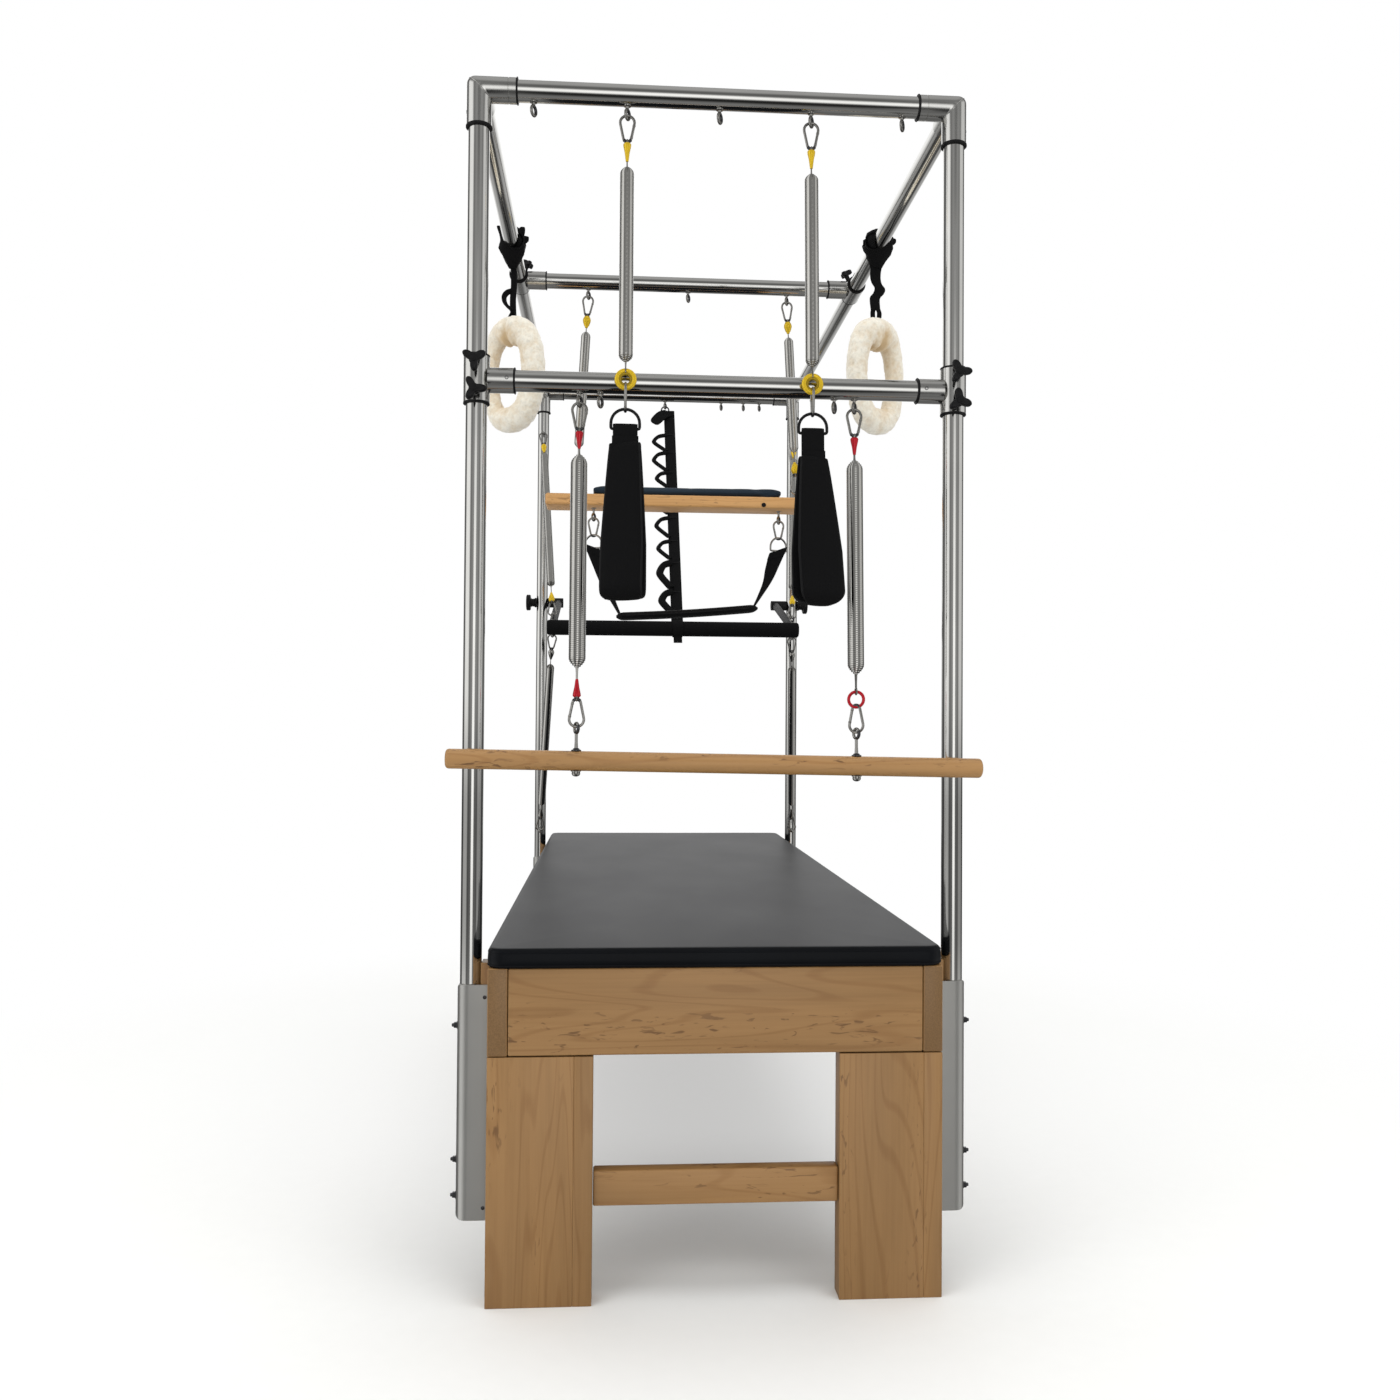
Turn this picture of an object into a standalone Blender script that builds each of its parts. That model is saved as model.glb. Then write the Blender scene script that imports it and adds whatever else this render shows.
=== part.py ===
"""Pilates trapeze table: a padded table on wooden legs under a tube canopy.

Metres, +Z up. The origin is on the floor under the middle of the table, +X is to
the right and +Y runs along the table, away from the end with the sliding bar.
"""

from math import asin, cos, pi, radians, sin, tau

import bmesh
import bpy
from mathutils import Matrix, Vector

COLLECTION = "Pilates trapeze table"

# Clearances between neighbouring pieces
CLEARANCE = 0.0003
SINK = 0.0008
LINK_SINK = 0.0018

# Table
TABLE_LENGTH = 2.218
TABLE_WIDTH = 0.794
LEG_HEIGHT = 0.4285
LEG_WIDTH = 0.182
LEG_DEPTH = 0.045
BOX_HEIGHT = 0.150
BOARD_THICKNESS = 0.034
LEDGER_WIDTH = 0.025
LEDGER_HEIGHT = 0.030
MAT_THICKNESS = 0.037
MAT_OVERHANG = 0.003
MAT_END_OVERHANG = 0.004
MAT_CORNER_RADIUS = 0.028
MAT_EDGE_RADIUS = 0.009
STRETCHER_HEIGHT = 0.061
STRETCHER_DEPTH = 0.030
STRETCHER_Z = 0.198
EDGE_ROUND = 0.0025

# Canopy of tubes
TUBE_RADIUS = 0.01905
TUBE_WALL = 0.0025
TUBE_SIDES = 12
POST_OUT = 0.037
POST_INSET = 0.079
RAIL_Z = 2.140
SOCKET_RADIUS = 0.0225
SOCKET_REACH = 0.067
SOCKET_STOP = 0.026

# Post brackets
BRACKET_WALL = 0.0035
BRACKET_BOTTOM = 0.128
BRACKET_TOP = 0.540
BRACKET_ARC_POINTS = 7
BLOCK_TOP = 0.578
BOLT_HEIGHTS = (0.166, 0.229, 0.465)
BOLT_RADIUS = 0.0055
BOLT_HEAD = 0.005

# Eyebolts
EYE_RADIUS = 0.008
EYE_WIRE = 0.0025
EYE_DROP = 0.0155
EYE_SHANK = 0.003
EYE_SEGMENTS = 8
FRONT_EYES = (-0.337, -0.168, 0.0, 0.168, 0.337)
SLIDER_EYES = (-0.258, 0.0, 0.258)
REAR_EYES = (0.182, 0.260, 0.316)
SLIDE_BAR_EYES = (-0.250, -0.213, 0.213, 0.250)

# Sliding front bar
SLIDE_BAR_Z = 1.615
COLLAR_RADIUS = 0.0235
COLLAR_LENGTH = 0.083
STAR_SPACING = 0.053
STAR_RADIUS = 0.0205
STAR_HUB = 0.0105
STAR_THICKNESS = 0.012
STAR_BOSS_RADIUS = 0.008
STAR_BOSS_LENGTH = 0.016
STUD_RADIUS = 0.004

# Sliding top bar
TOP_SLIDER_Y = -0.070
SLIDER_KNOB_TILT = radians(26)
SLIDER_KNOB_RADIUS = 0.010
SLIDER_KNOB_LENGTH = 0.026
SLIDER_KNOB_FACE = 0.0285

# Springs: a coil between two end rings, hooked on with pear-shaped links
LINK_WIRE = 0.0024
LINK_LENGTH = 0.045
LINK_WIDE = 0.0115
LINK_NARROW = 0.0072
CURL_POINTS = 8
RING_TURN = radians(5)

ARM_X = 0.168
ARM_TILT = radians(3.65)
ARM_COIL = 0.0118
ARM_WIRE = 0.0013
ARM_BODY = 0.353
ARM_CURLS = 7
ARM_RING = 0.0160
ARM_RING_WIRE = 0.0038
ARM_RING_DROP = 0.492

RED_X = 0.250
RED_COIL = 0.0142
RED_WIRE = 0.0015
RED_BODY = 0.368
RED_CURLS = 7
RED_RING = 0.0125
RED_RING_WIRE = 0.0036

SWING_COIL = 0.0110
SWING_WIRE = 0.0013
SWING_BODY = 0.270
SWING_CURLS = 3

BACK_COIL = 0.0115
BACK_WIRE = 0.0013
UPPER_BODY = 0.560
LOWER_BODY = 0.525
BACK_CURLS = 3
BACK_RING = 0.0115
BACK_RING_WIRE = 0.0034

# Roll-down bar
ROLL_RADIUS = 0.0175
ROLL_LENGTH = 0.955
ROLL_DROP = 0.650
ROLL_EYE_LIFT = 0.013
ROLL_SLOPE = radians(0.8)
ROLL_NUT_RADIUS = 0.006
ROLL_NUT = 0.008

# Hand loops
HAND_LINK_LENGTH = 0.046
HAND_D_WIDTH = 0.023
HAND_D_HEIGHT = 0.030
HAND_TAB_LENGTH = 0.040
HAND_TAB_WIDTH = 0.042
HAND_TAB_THICKNESS = 0.010
HAND_LOOP_LENGTH = 0.265
HAND_LOOP_DEPTH = 0.021
HAND_BAND_TOP = 0.050
HAND_BAND_BOTTOM = 0.072
HAND_BAND_THICKNESS = 0.007

# Trapeze and its sling
PLANK_LENGTH = 0.724
PLANK_DEPTH = 0.100
PLANK_THICKNESS = 0.037
PLANK_Z = 1.565
PLANK_EYE_X = 0.268
PAD_LENGTH = 0.496
PAD_THICKNESS = 0.020
SLING_X = 0.240
SLING_LINK = 0.040
SLING_D_WIDTH = 0.016
SLING_D_HEIGHT = 0.024
SLING_BAND_X = 0.175
SLING_BAND_DROP = 0.235
SLING_BAND_WIDTH = 0.080
SLING_STRAP_WIDTH = 0.030
SLING_THICKNESS = 0.008

# Push-through bar
PUSH_PIVOT_Z = 1.413
PUSH_BAR_REACH = 0.440
PUSH_BAR_Z = 1.295
PUSH_BAR_RADIUS = 0.0127
PUSH_ARM_RADIUS = 0.0125
PUSH_ARM_INSET = 0.056
PUSH_BAR_INSET = 0.048
PUSH_EYE_BACK = 0.040
GRIP_RADIUS = 0.0235
GRIP_INSET = 0.041
PIVOT_BOSS = 0.0165
PIN_RADIUS = 0.005
PIVOT_KNOB_RADIUS = 0.026
PIVOT_NECK_RADIUS = 0.014
PIVOT_NECK = 0.020
PIVOT_HEAD = 0.015
UPPER_EYE_Z = 1.995
LOWER_EYE_Z = 0.630

# Fleece loops hung on the top rails
FLEECE_LEFT_Y = -0.290
FLEECE_RIGHT_Y = -0.355
FLEECE_WRAP_WIDTH = 0.032
FLEECE_WRAP = 0.004
FLEECE_KNOT = 0.050
FLEECE_STRAP_WIDTH = 0.026
FLEECE_STRAP_THICKNESS = 0.005
FLEECE_STRAP_END = 0.215
FLEECE_HALF_WIDTH = 0.050
FLEECE_HALF_HEIGHT = 0.110
FLEECE_TUBE = 0.025
FLEECE_TURN = radians(35)

# Safety strap
SAFETY_X = -0.028
SAFETY_WIDTH = 0.038
SAFETY_THICKNESS = 0.003

# Derived places
BOX_BOTTOM = LEG_HEIGHT + CLEARANCE
BOX_TOP = BOX_BOTTOM + BOX_HEIGHT
HALF_LENGTH = TABLE_LENGTH / 2
HALF_WIDTH = TABLE_WIDTH / 2
POST_X = HALF_WIDTH + POST_OUT
POST_Y = HALF_LENGTH - POST_INSET
PUSH_BAR_Y = POST_Y - PUSH_BAR_REACH
PUSH_ARM_X = POST_X - PUSH_ARM_INSET
PUSH_HALF_LENGTH = POST_X - PUSH_BAR_INSET
GRIP_HALF_LENGTH = POST_X - GRIP_INSET
BORE_RADIUS = TUBE_RADIUS + CLEARANCE
TUBE_INSET = SOCKET_STOP + CLEARANCE
BRACKET_RADIUS = BORE_RADIUS + BRACKET_WALL
HOOK_DEPTH = EYE_RADIUS * cos(pi / EYE_SEGMENTS) - EYE_WIRE - LINK_WIRE - CLEARANCE

X_AXIS = Vector((1, 0, 0))
Y_AXIS = Vector((0, 1, 0))
Z_AXIS = Vector((0, 0, 1))


def clear_scene():
    """Remove the objects that the scene starts with."""
    for obj in list(bpy.data.objects):
        bpy.data.objects.remove(obj, do_unlink=True)


def collection(name):
    """The collection of that name, made when it is missing."""
    found = bpy.data.collections.get(name)
    if found is None:
        found = bpy.data.collections.new(name)
        bpy.context.scene.collection.children.link(found)
    return found


def material(name, colour, roughness, metallic=0.0):
    """A Principled material, made once for each name."""
    found = bpy.data.materials.get(name)
    if found is None:
        found = bpy.data.materials.new(name)
        found.use_nodes = True
        shader = found.node_tree.nodes["Principled BSDF"]
        shader.inputs["Base Color"].default_value = (*colour, 1.0)
        shader.inputs["Roughness"].default_value = roughness
        shader.inputs["Metallic"].default_value = metallic
    return found


def maple():
    return material("Maple", (0.62, 0.41, 0.22), 0.45)


def steel():
    return material("Brushed steel", (0.55, 0.55, 0.54), 0.30, 1.0)


def bright_steel():
    return material("Bright steel", (0.68, 0.68, 0.68), 0.22, 1.0)


def aluminium():
    return material("Satin aluminium", (0.62, 0.63, 0.64), 0.38, 1.0)


def black_plastic():
    return material("Black plastic", (0.02, 0.02, 0.022), 0.45)


def black_webbing():
    return material("Black webbing", (0.015, 0.015, 0.017), 0.85)


def grey_vinyl():
    return material("Grey vinyl", (0.055, 0.06, 0.07), 0.50)


def blue_vinyl():
    return material("Blue vinyl", (0.05, 0.07, 0.11), 0.50)


def fleece():
    return material("Fleece", (0.85, 0.80, 0.70), 0.95)


def link(name, data, skin):
    """A new object in the model's collection."""
    obj = bpy.data.objects.new(name, data)
    collection(COLLECTION).objects.link(obj)
    if skin is not None:
        data.materials.append(skin)
    return obj


def finish_mesh(name, bm, skin):
    """Turn a closed bmesh into an object with its faces pointing out."""
    bmesh.ops.recalc_face_normals(bm, faces=bm.faces)
    mesh = bpy.data.meshes.new(name)
    bm.to_mesh(mesh)
    bm.free()
    return link(name, mesh, skin)


def smooth(obj, angle=radians(40)):
    """Shade round faces smooth and keep the hard edges."""
    obj.data.shade_smooth()
    obj.data.set_sharp_from_angle(angle=angle)
    return obj


def frame_along(start, direction):
    """A matrix at start whose Z runs along direction and whose X stays level."""
    z = Vector(direction).normalized()
    side = z.cross(Z_AXIS)
    x = X_AXIS.copy() if side.length < 1e-6 else side.normalized()
    y = z.cross(x)
    matrix = Matrix((x, y, z)).transposed().to_4x4()
    matrix.translation = Vector(start)
    return matrix


def hang_frame(top, bottom):
    """A matrix at top whose -Z runs to bottom and whose X stays close to world X."""
    z = (Vector(top) - Vector(bottom)).normalized()
    y = z.cross(X_AXIS).normalized()
    x = y.cross(z)
    matrix = Matrix((x, y, z)).transposed().to_4x4()
    matrix.translation = Vector(top)
    return matrix


def bake(obj):
    """Replace an object's mesh with what its modifiers make of it."""
    depsgraph = bpy.context.evaluated_depsgraph_get()
    mesh = bpy.data.meshes.new_from_object(obj.evaluated_get(depsgraph))
    old = obj.data
    obj.modifiers.clear()
    obj.data = mesh
    mesh.name = obj.name
    bpy.data.meshes.remove(old)
    return obj


def combine(obj, others, operation):
    """Join others to obj, or cut them from it, and remove them."""
    for other in others:
        step = obj.modifiers.new("Boolean", "BOOLEAN")
        step.operation = operation
        step.object = other
        step.solver = "EXACT"
        bake(obj)
        data = other.data
        bpy.data.objects.remove(other)
        bpy.data.meshes.remove(data)
    bm = bmesh.new()
    bm.from_mesh(obj.data)
    bmesh.ops.remove_doubles(bm, verts=bm.verts, dist=2e-6)
    bmesh.ops.dissolve_degenerate(bm, edges=bm.edges, dist=2e-6)
    bm.to_mesh(obj.data)
    bm.free()
    return obj


def unite(obj, others):
    return combine(obj, others, "UNION")


def cut(obj, others):
    return combine(obj, others, "DIFFERENCE")


def board(name, size, centre, skin, round_edges=EDGE_ROUND):
    """A board with softly rounded edges."""
    bpy.ops.mesh.primitive_cube_add(size=1, location=centre)
    obj = bpy.context.object
    obj.name = name
    obj.data.name = name
    obj.data.transform(Matrix.Diagonal((*size, 1)))
    for holder in obj.users_collection:
        holder.objects.unlink(obj)
    collection(COLLECTION).objects.link(obj)
    obj.data.materials.append(skin)
    if round_edges:
        bevel = obj.modifiers.new("Round edges", "BEVEL")
        bevel.width = round_edges
        bevel.segments = 1
    return obj


def cylinder(name, radius, start, end, skin, sides=TUBE_SIDES, end_radius=None):
    """A solid cylinder or cone between two points."""
    start = Vector(start)
    axis = Vector(end) - start
    bm = bmesh.new()
    bmesh.ops.create_cone(
        bm, cap_ends=True, segments=sides, radius1=radius,
        radius2=radius if end_radius is None else end_radius, depth=axis.length)
    bmesh.ops.translate(bm, verts=bm.verts, vec=(0, 0, axis.length / 2))
    bmesh.ops.transform(bm, verts=bm.verts, matrix=frame_along(start, axis))
    return finish_mesh(name, bm, skin)


def turned(name, profile, matrix, skin, steps=TUBE_SIDES):
    """A turned solid. The profile holds (radius, height) and runs down its outer side."""
    mesh = bpy.data.meshes.new(name)
    count = len(profile)
    closed = profile[0][0] > 0
    edges = [(i, (i + 1) % count) for i in range(count if closed else count - 1)]
    mesh.from_pydata([(r, 0, h) for r, h in profile], edges, [])
    obj = link(name, mesh, skin)
    turn = obj.modifiers.new("Turn", "SCREW")
    turn.steps = steps
    turn.render_steps = steps
    turn.use_merge_vertices = True
    turn.merge_threshold = 0.00001
    bake(obj)
    obj.data.transform(matrix)
    return smooth(obj)


def tube(name, start, end, skin):
    """A hollow canopy tube between two points."""
    start = Vector(start)
    axis = Vector(end) - start
    inner = TUBE_RADIUS - TUBE_WALL
    profile = [(TUBE_RADIUS, axis.length), (TUBE_RADIUS, 0), (inner, 0), (inner, axis.length)]
    return turned(name, profile, frame_along(start, axis), skin)


def wire(name, points, radius, skin, cyclic=False, resolution=1):
    """A round wire along points, as one closed mesh."""
    curve = bpy.data.curves.new(name, "CURVE")
    curve.dimensions = "3D"
    curve.bevel_depth = radius
    curve.bevel_resolution = resolution
    curve.use_fill_caps = not cyclic
    spline = curve.splines.new("POLY")
    spline.points.add(len(points) - 1)
    for point, place in zip(spline.points, points):
        point.co = (*place, 1)
    spline.use_cyclic_u = cyclic
    guide = link(name + "_path", curve, None)
    depsgraph = bpy.context.evaluated_depsgraph_get()
    mesh = bpy.data.meshes.new_from_object(guide.evaluated_get(depsgraph))
    bpy.data.objects.remove(guide)
    bpy.data.curves.remove(curve)
    bm = bmesh.new()
    bm.from_mesh(mesh)
    bpy.data.meshes.remove(mesh)
    bmesh.ops.remove_doubles(bm, verts=bm.verts, dist=1e-5)
    return smooth(finish_mesh(name, bm, skin))


def ring(name, radius, wire_radius, centre, axis, skin, segments=10, sides=6):
    """A round ring of wire whose hole runs along axis."""
    bpy.ops.mesh.primitive_torus_add(
        major_segments=segments, minor_segments=sides, major_radius=radius,
        minor_radius=wire_radius)
    obj = bpy.context.object
    obj.name = name
    for holder in obj.users_collection:
        holder.objects.unlink(obj)
    collection(COLLECTION).objects.link(obj)
    obj.data.materials.append(skin)
    obj.data.transform(frame_along(centre, axis))
    return smooth(obj)


def loft(name, rings, skin, closed=False):
    """A skin over rings of equally many points, capped unless it closes on itself."""
    bm = bmesh.new()
    rows = [[bm.verts.new(point) for point in row] for row in rings]
    pairs = list(zip(rows, rows[1:]))
    if closed:
        pairs.append((rows[-1], rows[0]))
    for low, high in pairs:
        for i in range(len(low)):
            j = (i + 1) % len(low)
            bm.faces.new((low[i], low[j], high[j], high[i]))
    if not closed:
        bm.faces.new(rows[0])
        bm.faces.new(list(reversed(rows[-1])))
    return finish_mesh(name, bm, skin)


def ribbon(name, points, widths, thickness, across, skin, closed=False):
    """A flat band along points, with its width along the direction across."""
    points = [Vector(p) for p in points]
    across = Vector(across)
    count = len(points)
    rings = []
    for i, point in enumerate(points):
        before = points[(i - 1) % count] if closed or i else points[0]
        after = points[(i + 1) % count] if closed or i < count - 1 else points[-1]
        normal = (after - before).cross(across).normalized()
        side = across * widths[i] / 2
        out = normal * thickness / 2
        rings.append([point - side - out, point + side - out,
                      point + side + out, point - side + out])
    return loft(name, rings, skin, closed)


def arc(centre, radius, start, end, count):
    """Points (u, v) along an arc in a plane, both ends included."""
    step = (end - start) / (count - 1)
    return [(centre[0] + radius * cos(start + i * step),
             centre[1] + radius * sin(start + i * step)) for i in range(count)]


def running_bore(radius, sides):
    """The bore whose flats still clear a pin of that radius as it turns."""
    return (radius + CLEARANCE) / cos(pi / sides)


def pivot(name, place):
    """An empty on a joint's axis."""
    empty = bpy.data.objects.new(name, None)
    empty.empty_display_size = 0.05
    empty.location = place
    collection(COLLECTION).objects.link(empty)
    bpy.context.view_layer.update()
    return empty


def hold(empty, *objects):
    """Parent objects to an empty and leave them where they are."""
    for obj in objects:
        obj.parent = empty
        obj.matrix_parent_inverse = empty.matrix_world.inverted()


# Table

def make_mat():
    """The padded top, with its own board inside."""
    size = (TABLE_WIDTH + 2 * MAT_OVERHANG, TABLE_LENGTH + 2 * MAT_END_OVERHANG, MAT_THICKNESS)
    bm = bmesh.new()
    bmesh.ops.create_cube(bm, size=1)
    bmesh.ops.transform(bm, verts=bm.verts, matrix=Matrix.Diagonal((*size, 1)))
    upright = [e for e in bm.edges if abs(e.verts[0].co.z - e.verts[1].co.z) > MAT_THICKNESS / 2]
    bmesh.ops.bevel(bm, geom=upright, offset=MAT_CORNER_RADIUS, segments=4, profile=0.5,
                    affect="EDGES")
    rim = [e for e in bm.edges if abs(e.verts[0].co.z - e.verts[1].co.z) < 1e-6]
    bmesh.ops.bevel(bm, geom=rim, offset=MAT_EDGE_RADIUS, segments=2, profile=0.5,
                    affect="EDGES")
    obj = finish_mesh("mat_pad", bm, grey_vinyl())
    obj.location.z = BOX_TOP + CLEARANCE + MAT_THICKNESS / 2
    return smooth(obj)


def make_legs():
    for front, end in ((True, "front"), (False, "rear")):
        y = (HALF_LENGTH - LEG_DEPTH / 2) * (-1 if front else 1)
        for sign, side in ((-1, "left"), (1, "right")):
            x = sign * (HALF_WIDTH - LEG_WIDTH / 2)
            board("leg_%s_%s" % (end, side), (LEG_WIDTH, LEG_DEPTH, LEG_HEIGHT),
                  (x, y, LEG_HEIGHT / 2), maple())
        span = TABLE_WIDTH - 2 * LEG_WIDTH - 2 * CLEARANCE
        board("stretcher_" + end, (span, STRETCHER_DEPTH, STRETCHER_HEIGHT),
              (0, y, STRETCHER_Z), maple())


def make_box():
    """Two aprons between two long side rails, with a ledger under the mat's board."""
    middle = BOX_BOTTOM + BOX_HEIGHT / 2
    span = TABLE_WIDTH - 2 * BOARD_THICKNESS - 2 * CLEARANCE
    for sign, end in ((-1, "front"), (1, "rear")):
        y = sign * (HALF_LENGTH - BOARD_THICKNESS / 2)
        board("apron_" + end, (span, BOARD_THICKNESS, BOX_HEIGHT), (0, y, middle), maple())
    for sign, side in ((-1, "left"), (1, "right")):
        x = sign * (HALF_WIDTH - BOARD_THICKNESS / 2)
        rail = board("side_rail_" + side, (BOARD_THICKNESS, TABLE_LENGTH, BOX_HEIGHT),
                     (x, 0, middle), maple(), 0)
        ledger_length = TABLE_LENGTH - 2 * BOARD_THICKNESS - 2 * CLEARANCE
        ledger_x = sign * (HALF_WIDTH - BOARD_THICKNESS - LEDGER_WIDTH / 2 + SINK)
        ledger = board("ledger", (LEDGER_WIDTH, ledger_length, LEDGER_HEIGHT),
                       (ledger_x, 0, BOX_TOP - LEDGER_HEIGHT / 2 - SINK), maple(), 0)
        unite(rail, [ledger] + [post_block(sign, end) for end in (-1, 1)])


def post_block(side, end):
    """The wooden block between the table and a post, glued to the side rail."""
    inner = HALF_WIDTH - SINK
    outer = POST_X - TUBE_RADIUS - CLEARANCE
    half = BORE_RADIUS - CLEARANCE
    block = board("block", (outer - inner, 2 * half, BLOCK_TOP - BOX_BOTTOM - SINK),
                  (side * (outer + inner) / 2, end * POST_Y,
                   (BLOCK_TOP + BOX_BOTTOM + SINK) / 2), maple(), 0)
    tail_inner = HALF_WIDTH + CLEARANCE
    tail = board("tail", (outer - tail_inner, 2 * half, BOX_BOTTOM - BRACKET_BOTTOM + 4 * SINK),
                 (side * (outer + tail_inner) / 2, end * POST_Y,
                  (BRACKET_BOTTOM + BOX_BOTTOM + 4 * SINK) / 2), maple(), 0)
    return unite(block, [tail])


def make_brackets():
    """U-shaped extrusions that hold the posts against the table."""
    height = BRACKET_TOP - BRACKET_BOTTOM
    back = POST_X - HALF_WIDTH - CLEARANCE
    for end, end_name in ((-1, "front"), (1, "rear")):
        for side, side_name in ((-1, "left"), (1, "right")):
            outer = [(-back, -BRACKET_RADIUS)]
            outer += arc((0, 0), BRACKET_RADIUS, -pi / 2, pi / 2, BRACKET_ARC_POINTS)
            outer += [(-back, BRACKET_RADIUS)]
            inner = [(-back, BORE_RADIUS)]
            inner += arc((0, 0), BORE_RADIUS, pi / 2, -pi / 2, TUBE_SIDES // 2 + 1)
            inner += [(-back, -BORE_RADIUS)]
            name = "post_bracket_%s_%s" % (end_name, side_name)
            bracket = flat_shape(name, outer + inner, height / 2, aluminium())
            turn = Matrix.Rotation(0 if side > 0 else pi, 4, "Z")
            place = (side * POST_X, end * POST_Y, BRACKET_BOTTOM + height / 2)
            bracket.data.transform(Matrix.Translation(place) @ turn)
            heads = []
            for z in BOLT_HEIGHTS:
                start = (side * (POST_X + BRACKET_RADIUS - SINK), end * POST_Y, z)
                stop = (side * (POST_X + BRACKET_RADIUS + BOLT_HEAD), end * POST_Y, z)
                heads.append(cylinder("head", BOLT_RADIUS, start, stop, bright_steel(), 6))
            smooth(unite(bracket, heads))


def flat_shape(name, outline, half_thickness, skin):
    """A flat outline, thick along Z."""
    curve = bpy.data.curves.new(name, "CURVE")
    curve.dimensions = "2D"
    curve.fill_mode = "BOTH"
    curve.extrude = half_thickness
    spline = curve.splines.new("POLY")
    spline.points.add(len(outline) - 1)
    for point, (u, v) in zip(spline.points, outline):
        point.co = (u, v, 0, 1)
    spline.use_cyclic_u = True
    guide = link(name + "_outline", curve, None)
    depsgraph = bpy.context.evaluated_depsgraph_get()
    mesh = bpy.data.meshes.new_from_object(guide.evaluated_get(depsgraph))
    bpy.data.objects.remove(guide)
    bpy.data.curves.remove(curve)
    bm = bmesh.new()
    bm.from_mesh(mesh)
    bpy.data.meshes.remove(mesh)
    bmesh.ops.remove_doubles(bm, verts=bm.verts, dist=1e-5)
    return finish_mesh(name, bm, skin)


# Canopy

def eye_ring(centre, hole_axis):
    """The ring of an eyebolt."""
    return ring("eye", EYE_RADIUS, EYE_WIRE, centre, hole_axis, bright_steel(), EYE_SEGMENTS, 4)


def eyebolt(root, direction, hole_axis):
    """An eyebolt whose shank starts inside the piece at root."""
    root = Vector(root)
    direction = Vector(direction).normalized()
    shank_end = root + direction * (TUBE_RADIUS + EYE_DROP - EYE_RADIUS)
    shank_start = root + direction * (TUBE_RADIUS - TUBE_WALL / 2)
    centre = root + direction * (TUBE_RADIUS + EYE_DROP)
    eye = eye_ring(centre, hole_axis)
    shank = cylinder("shank", EYE_SHANK, shank_start, shank_end, bright_steel(), 5)
    return unite(eye, [shank])


def make_posts():
    for end, end_name in ((-1, "front"), (1, "rear")):
        for side, side_name in ((-1, "left"), (1, "right")):
            x, y = side * POST_X, end * POST_Y
            post = tube("post_%s_%s" % (end_name, side_name),
                        (x, y, BRACKET_BOTTOM + SINK), (x, y, RAIL_Z - TUBE_INSET), steel())
            if end > 0:
                fit_rear_post(post, x, y)


def fit_rear_post(post, x, y):
    """The pin hole and the two spring eyes of a rear post."""
    reach = TUBE_RADIUS + 0.01
    hole = cylinder("hole", running_bore(PIN_RADIUS, 8), (x - reach, y, PUSH_PIVOT_Z),
                    (x + reach, y, PUSH_PIVOT_Z), steel(), 8)
    cut(post, [hole])
    eyes = [eyebolt((x, y, z), -Y_AXIS, X_AXIS) for z in (UPPER_EYE_Z, LOWER_EYE_Z)]
    smooth(unite(post, eyes))


def make_elbow(name, side, end):
    """A cast corner: a mitred elbow with a third socket for the long rail."""
    centre = Vector((side * POST_X, end * POST_Y, RAIL_Z))
    inward = Vector((-side, 0, 0))
    rings = [[], [], []]
    for i in range(TUBE_SIDES):
        angle = tau * i / TUBE_SIDES
        across = Y_AXIS * SOCKET_RADIUS * cos(angle)
        rise = SOCKET_RADIUS * sin(angle)
        rings[0].append(centre + across + Z_AXIS * rise + inward * SOCKET_REACH)
        rings[1].append(centre + across + Z_AXIS * rise - inward * rise)
        rings[2].append(centre + across - inward * rise - Z_AXIS * SOCKET_REACH)
    elbow = loft(name, rings, steel())
    along = Vector((0, -end, 0))
    socket = cylinder("socket", SOCKET_RADIUS - 2 * CLEARANCE, centre,
                      centre + along * SOCKET_REACH, steel())
    unite(elbow, [socket])
    bores = []
    for direction in (inward, along, -Z_AXIS):
        bores.append(cylinder("bore", BORE_RADIUS, centre + direction * SOCKET_STOP,
                              centre + direction * (SOCKET_REACH + SINK), steel()))
    return smooth(cut(elbow, bores))


def make_canopy():
    reach = POST_X - TUBE_INSET
    for end, end_name in ((-1, "front"), (1, "rear")):
        for side, side_name in ((-1, "left"), (1, "right")):
            make_elbow("corner_%s_%s" % (end_name, side_name), side, end)
        y = end * POST_Y
        bar = tube("crossbar_" + end_name, (-reach, y, RAIL_Z), (reach, y, RAIL_Z), steel())
        places = FRONT_EYES if end < 0 else REAR_EYES
        smooth(unite(bar, [eyebolt((x, y, RAIL_Z), -Z_AXIS, X_AXIS) for x in places]))
    length = POST_Y - TUBE_INSET
    for side, side_name in ((-1, "left"), (1, "right")):
        x = side * POST_X
        tube("top_rail_" + side_name, (x, -length, RAIL_Z), (x, length, RAIL_Z), steel())


# Sliding front bar

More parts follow.
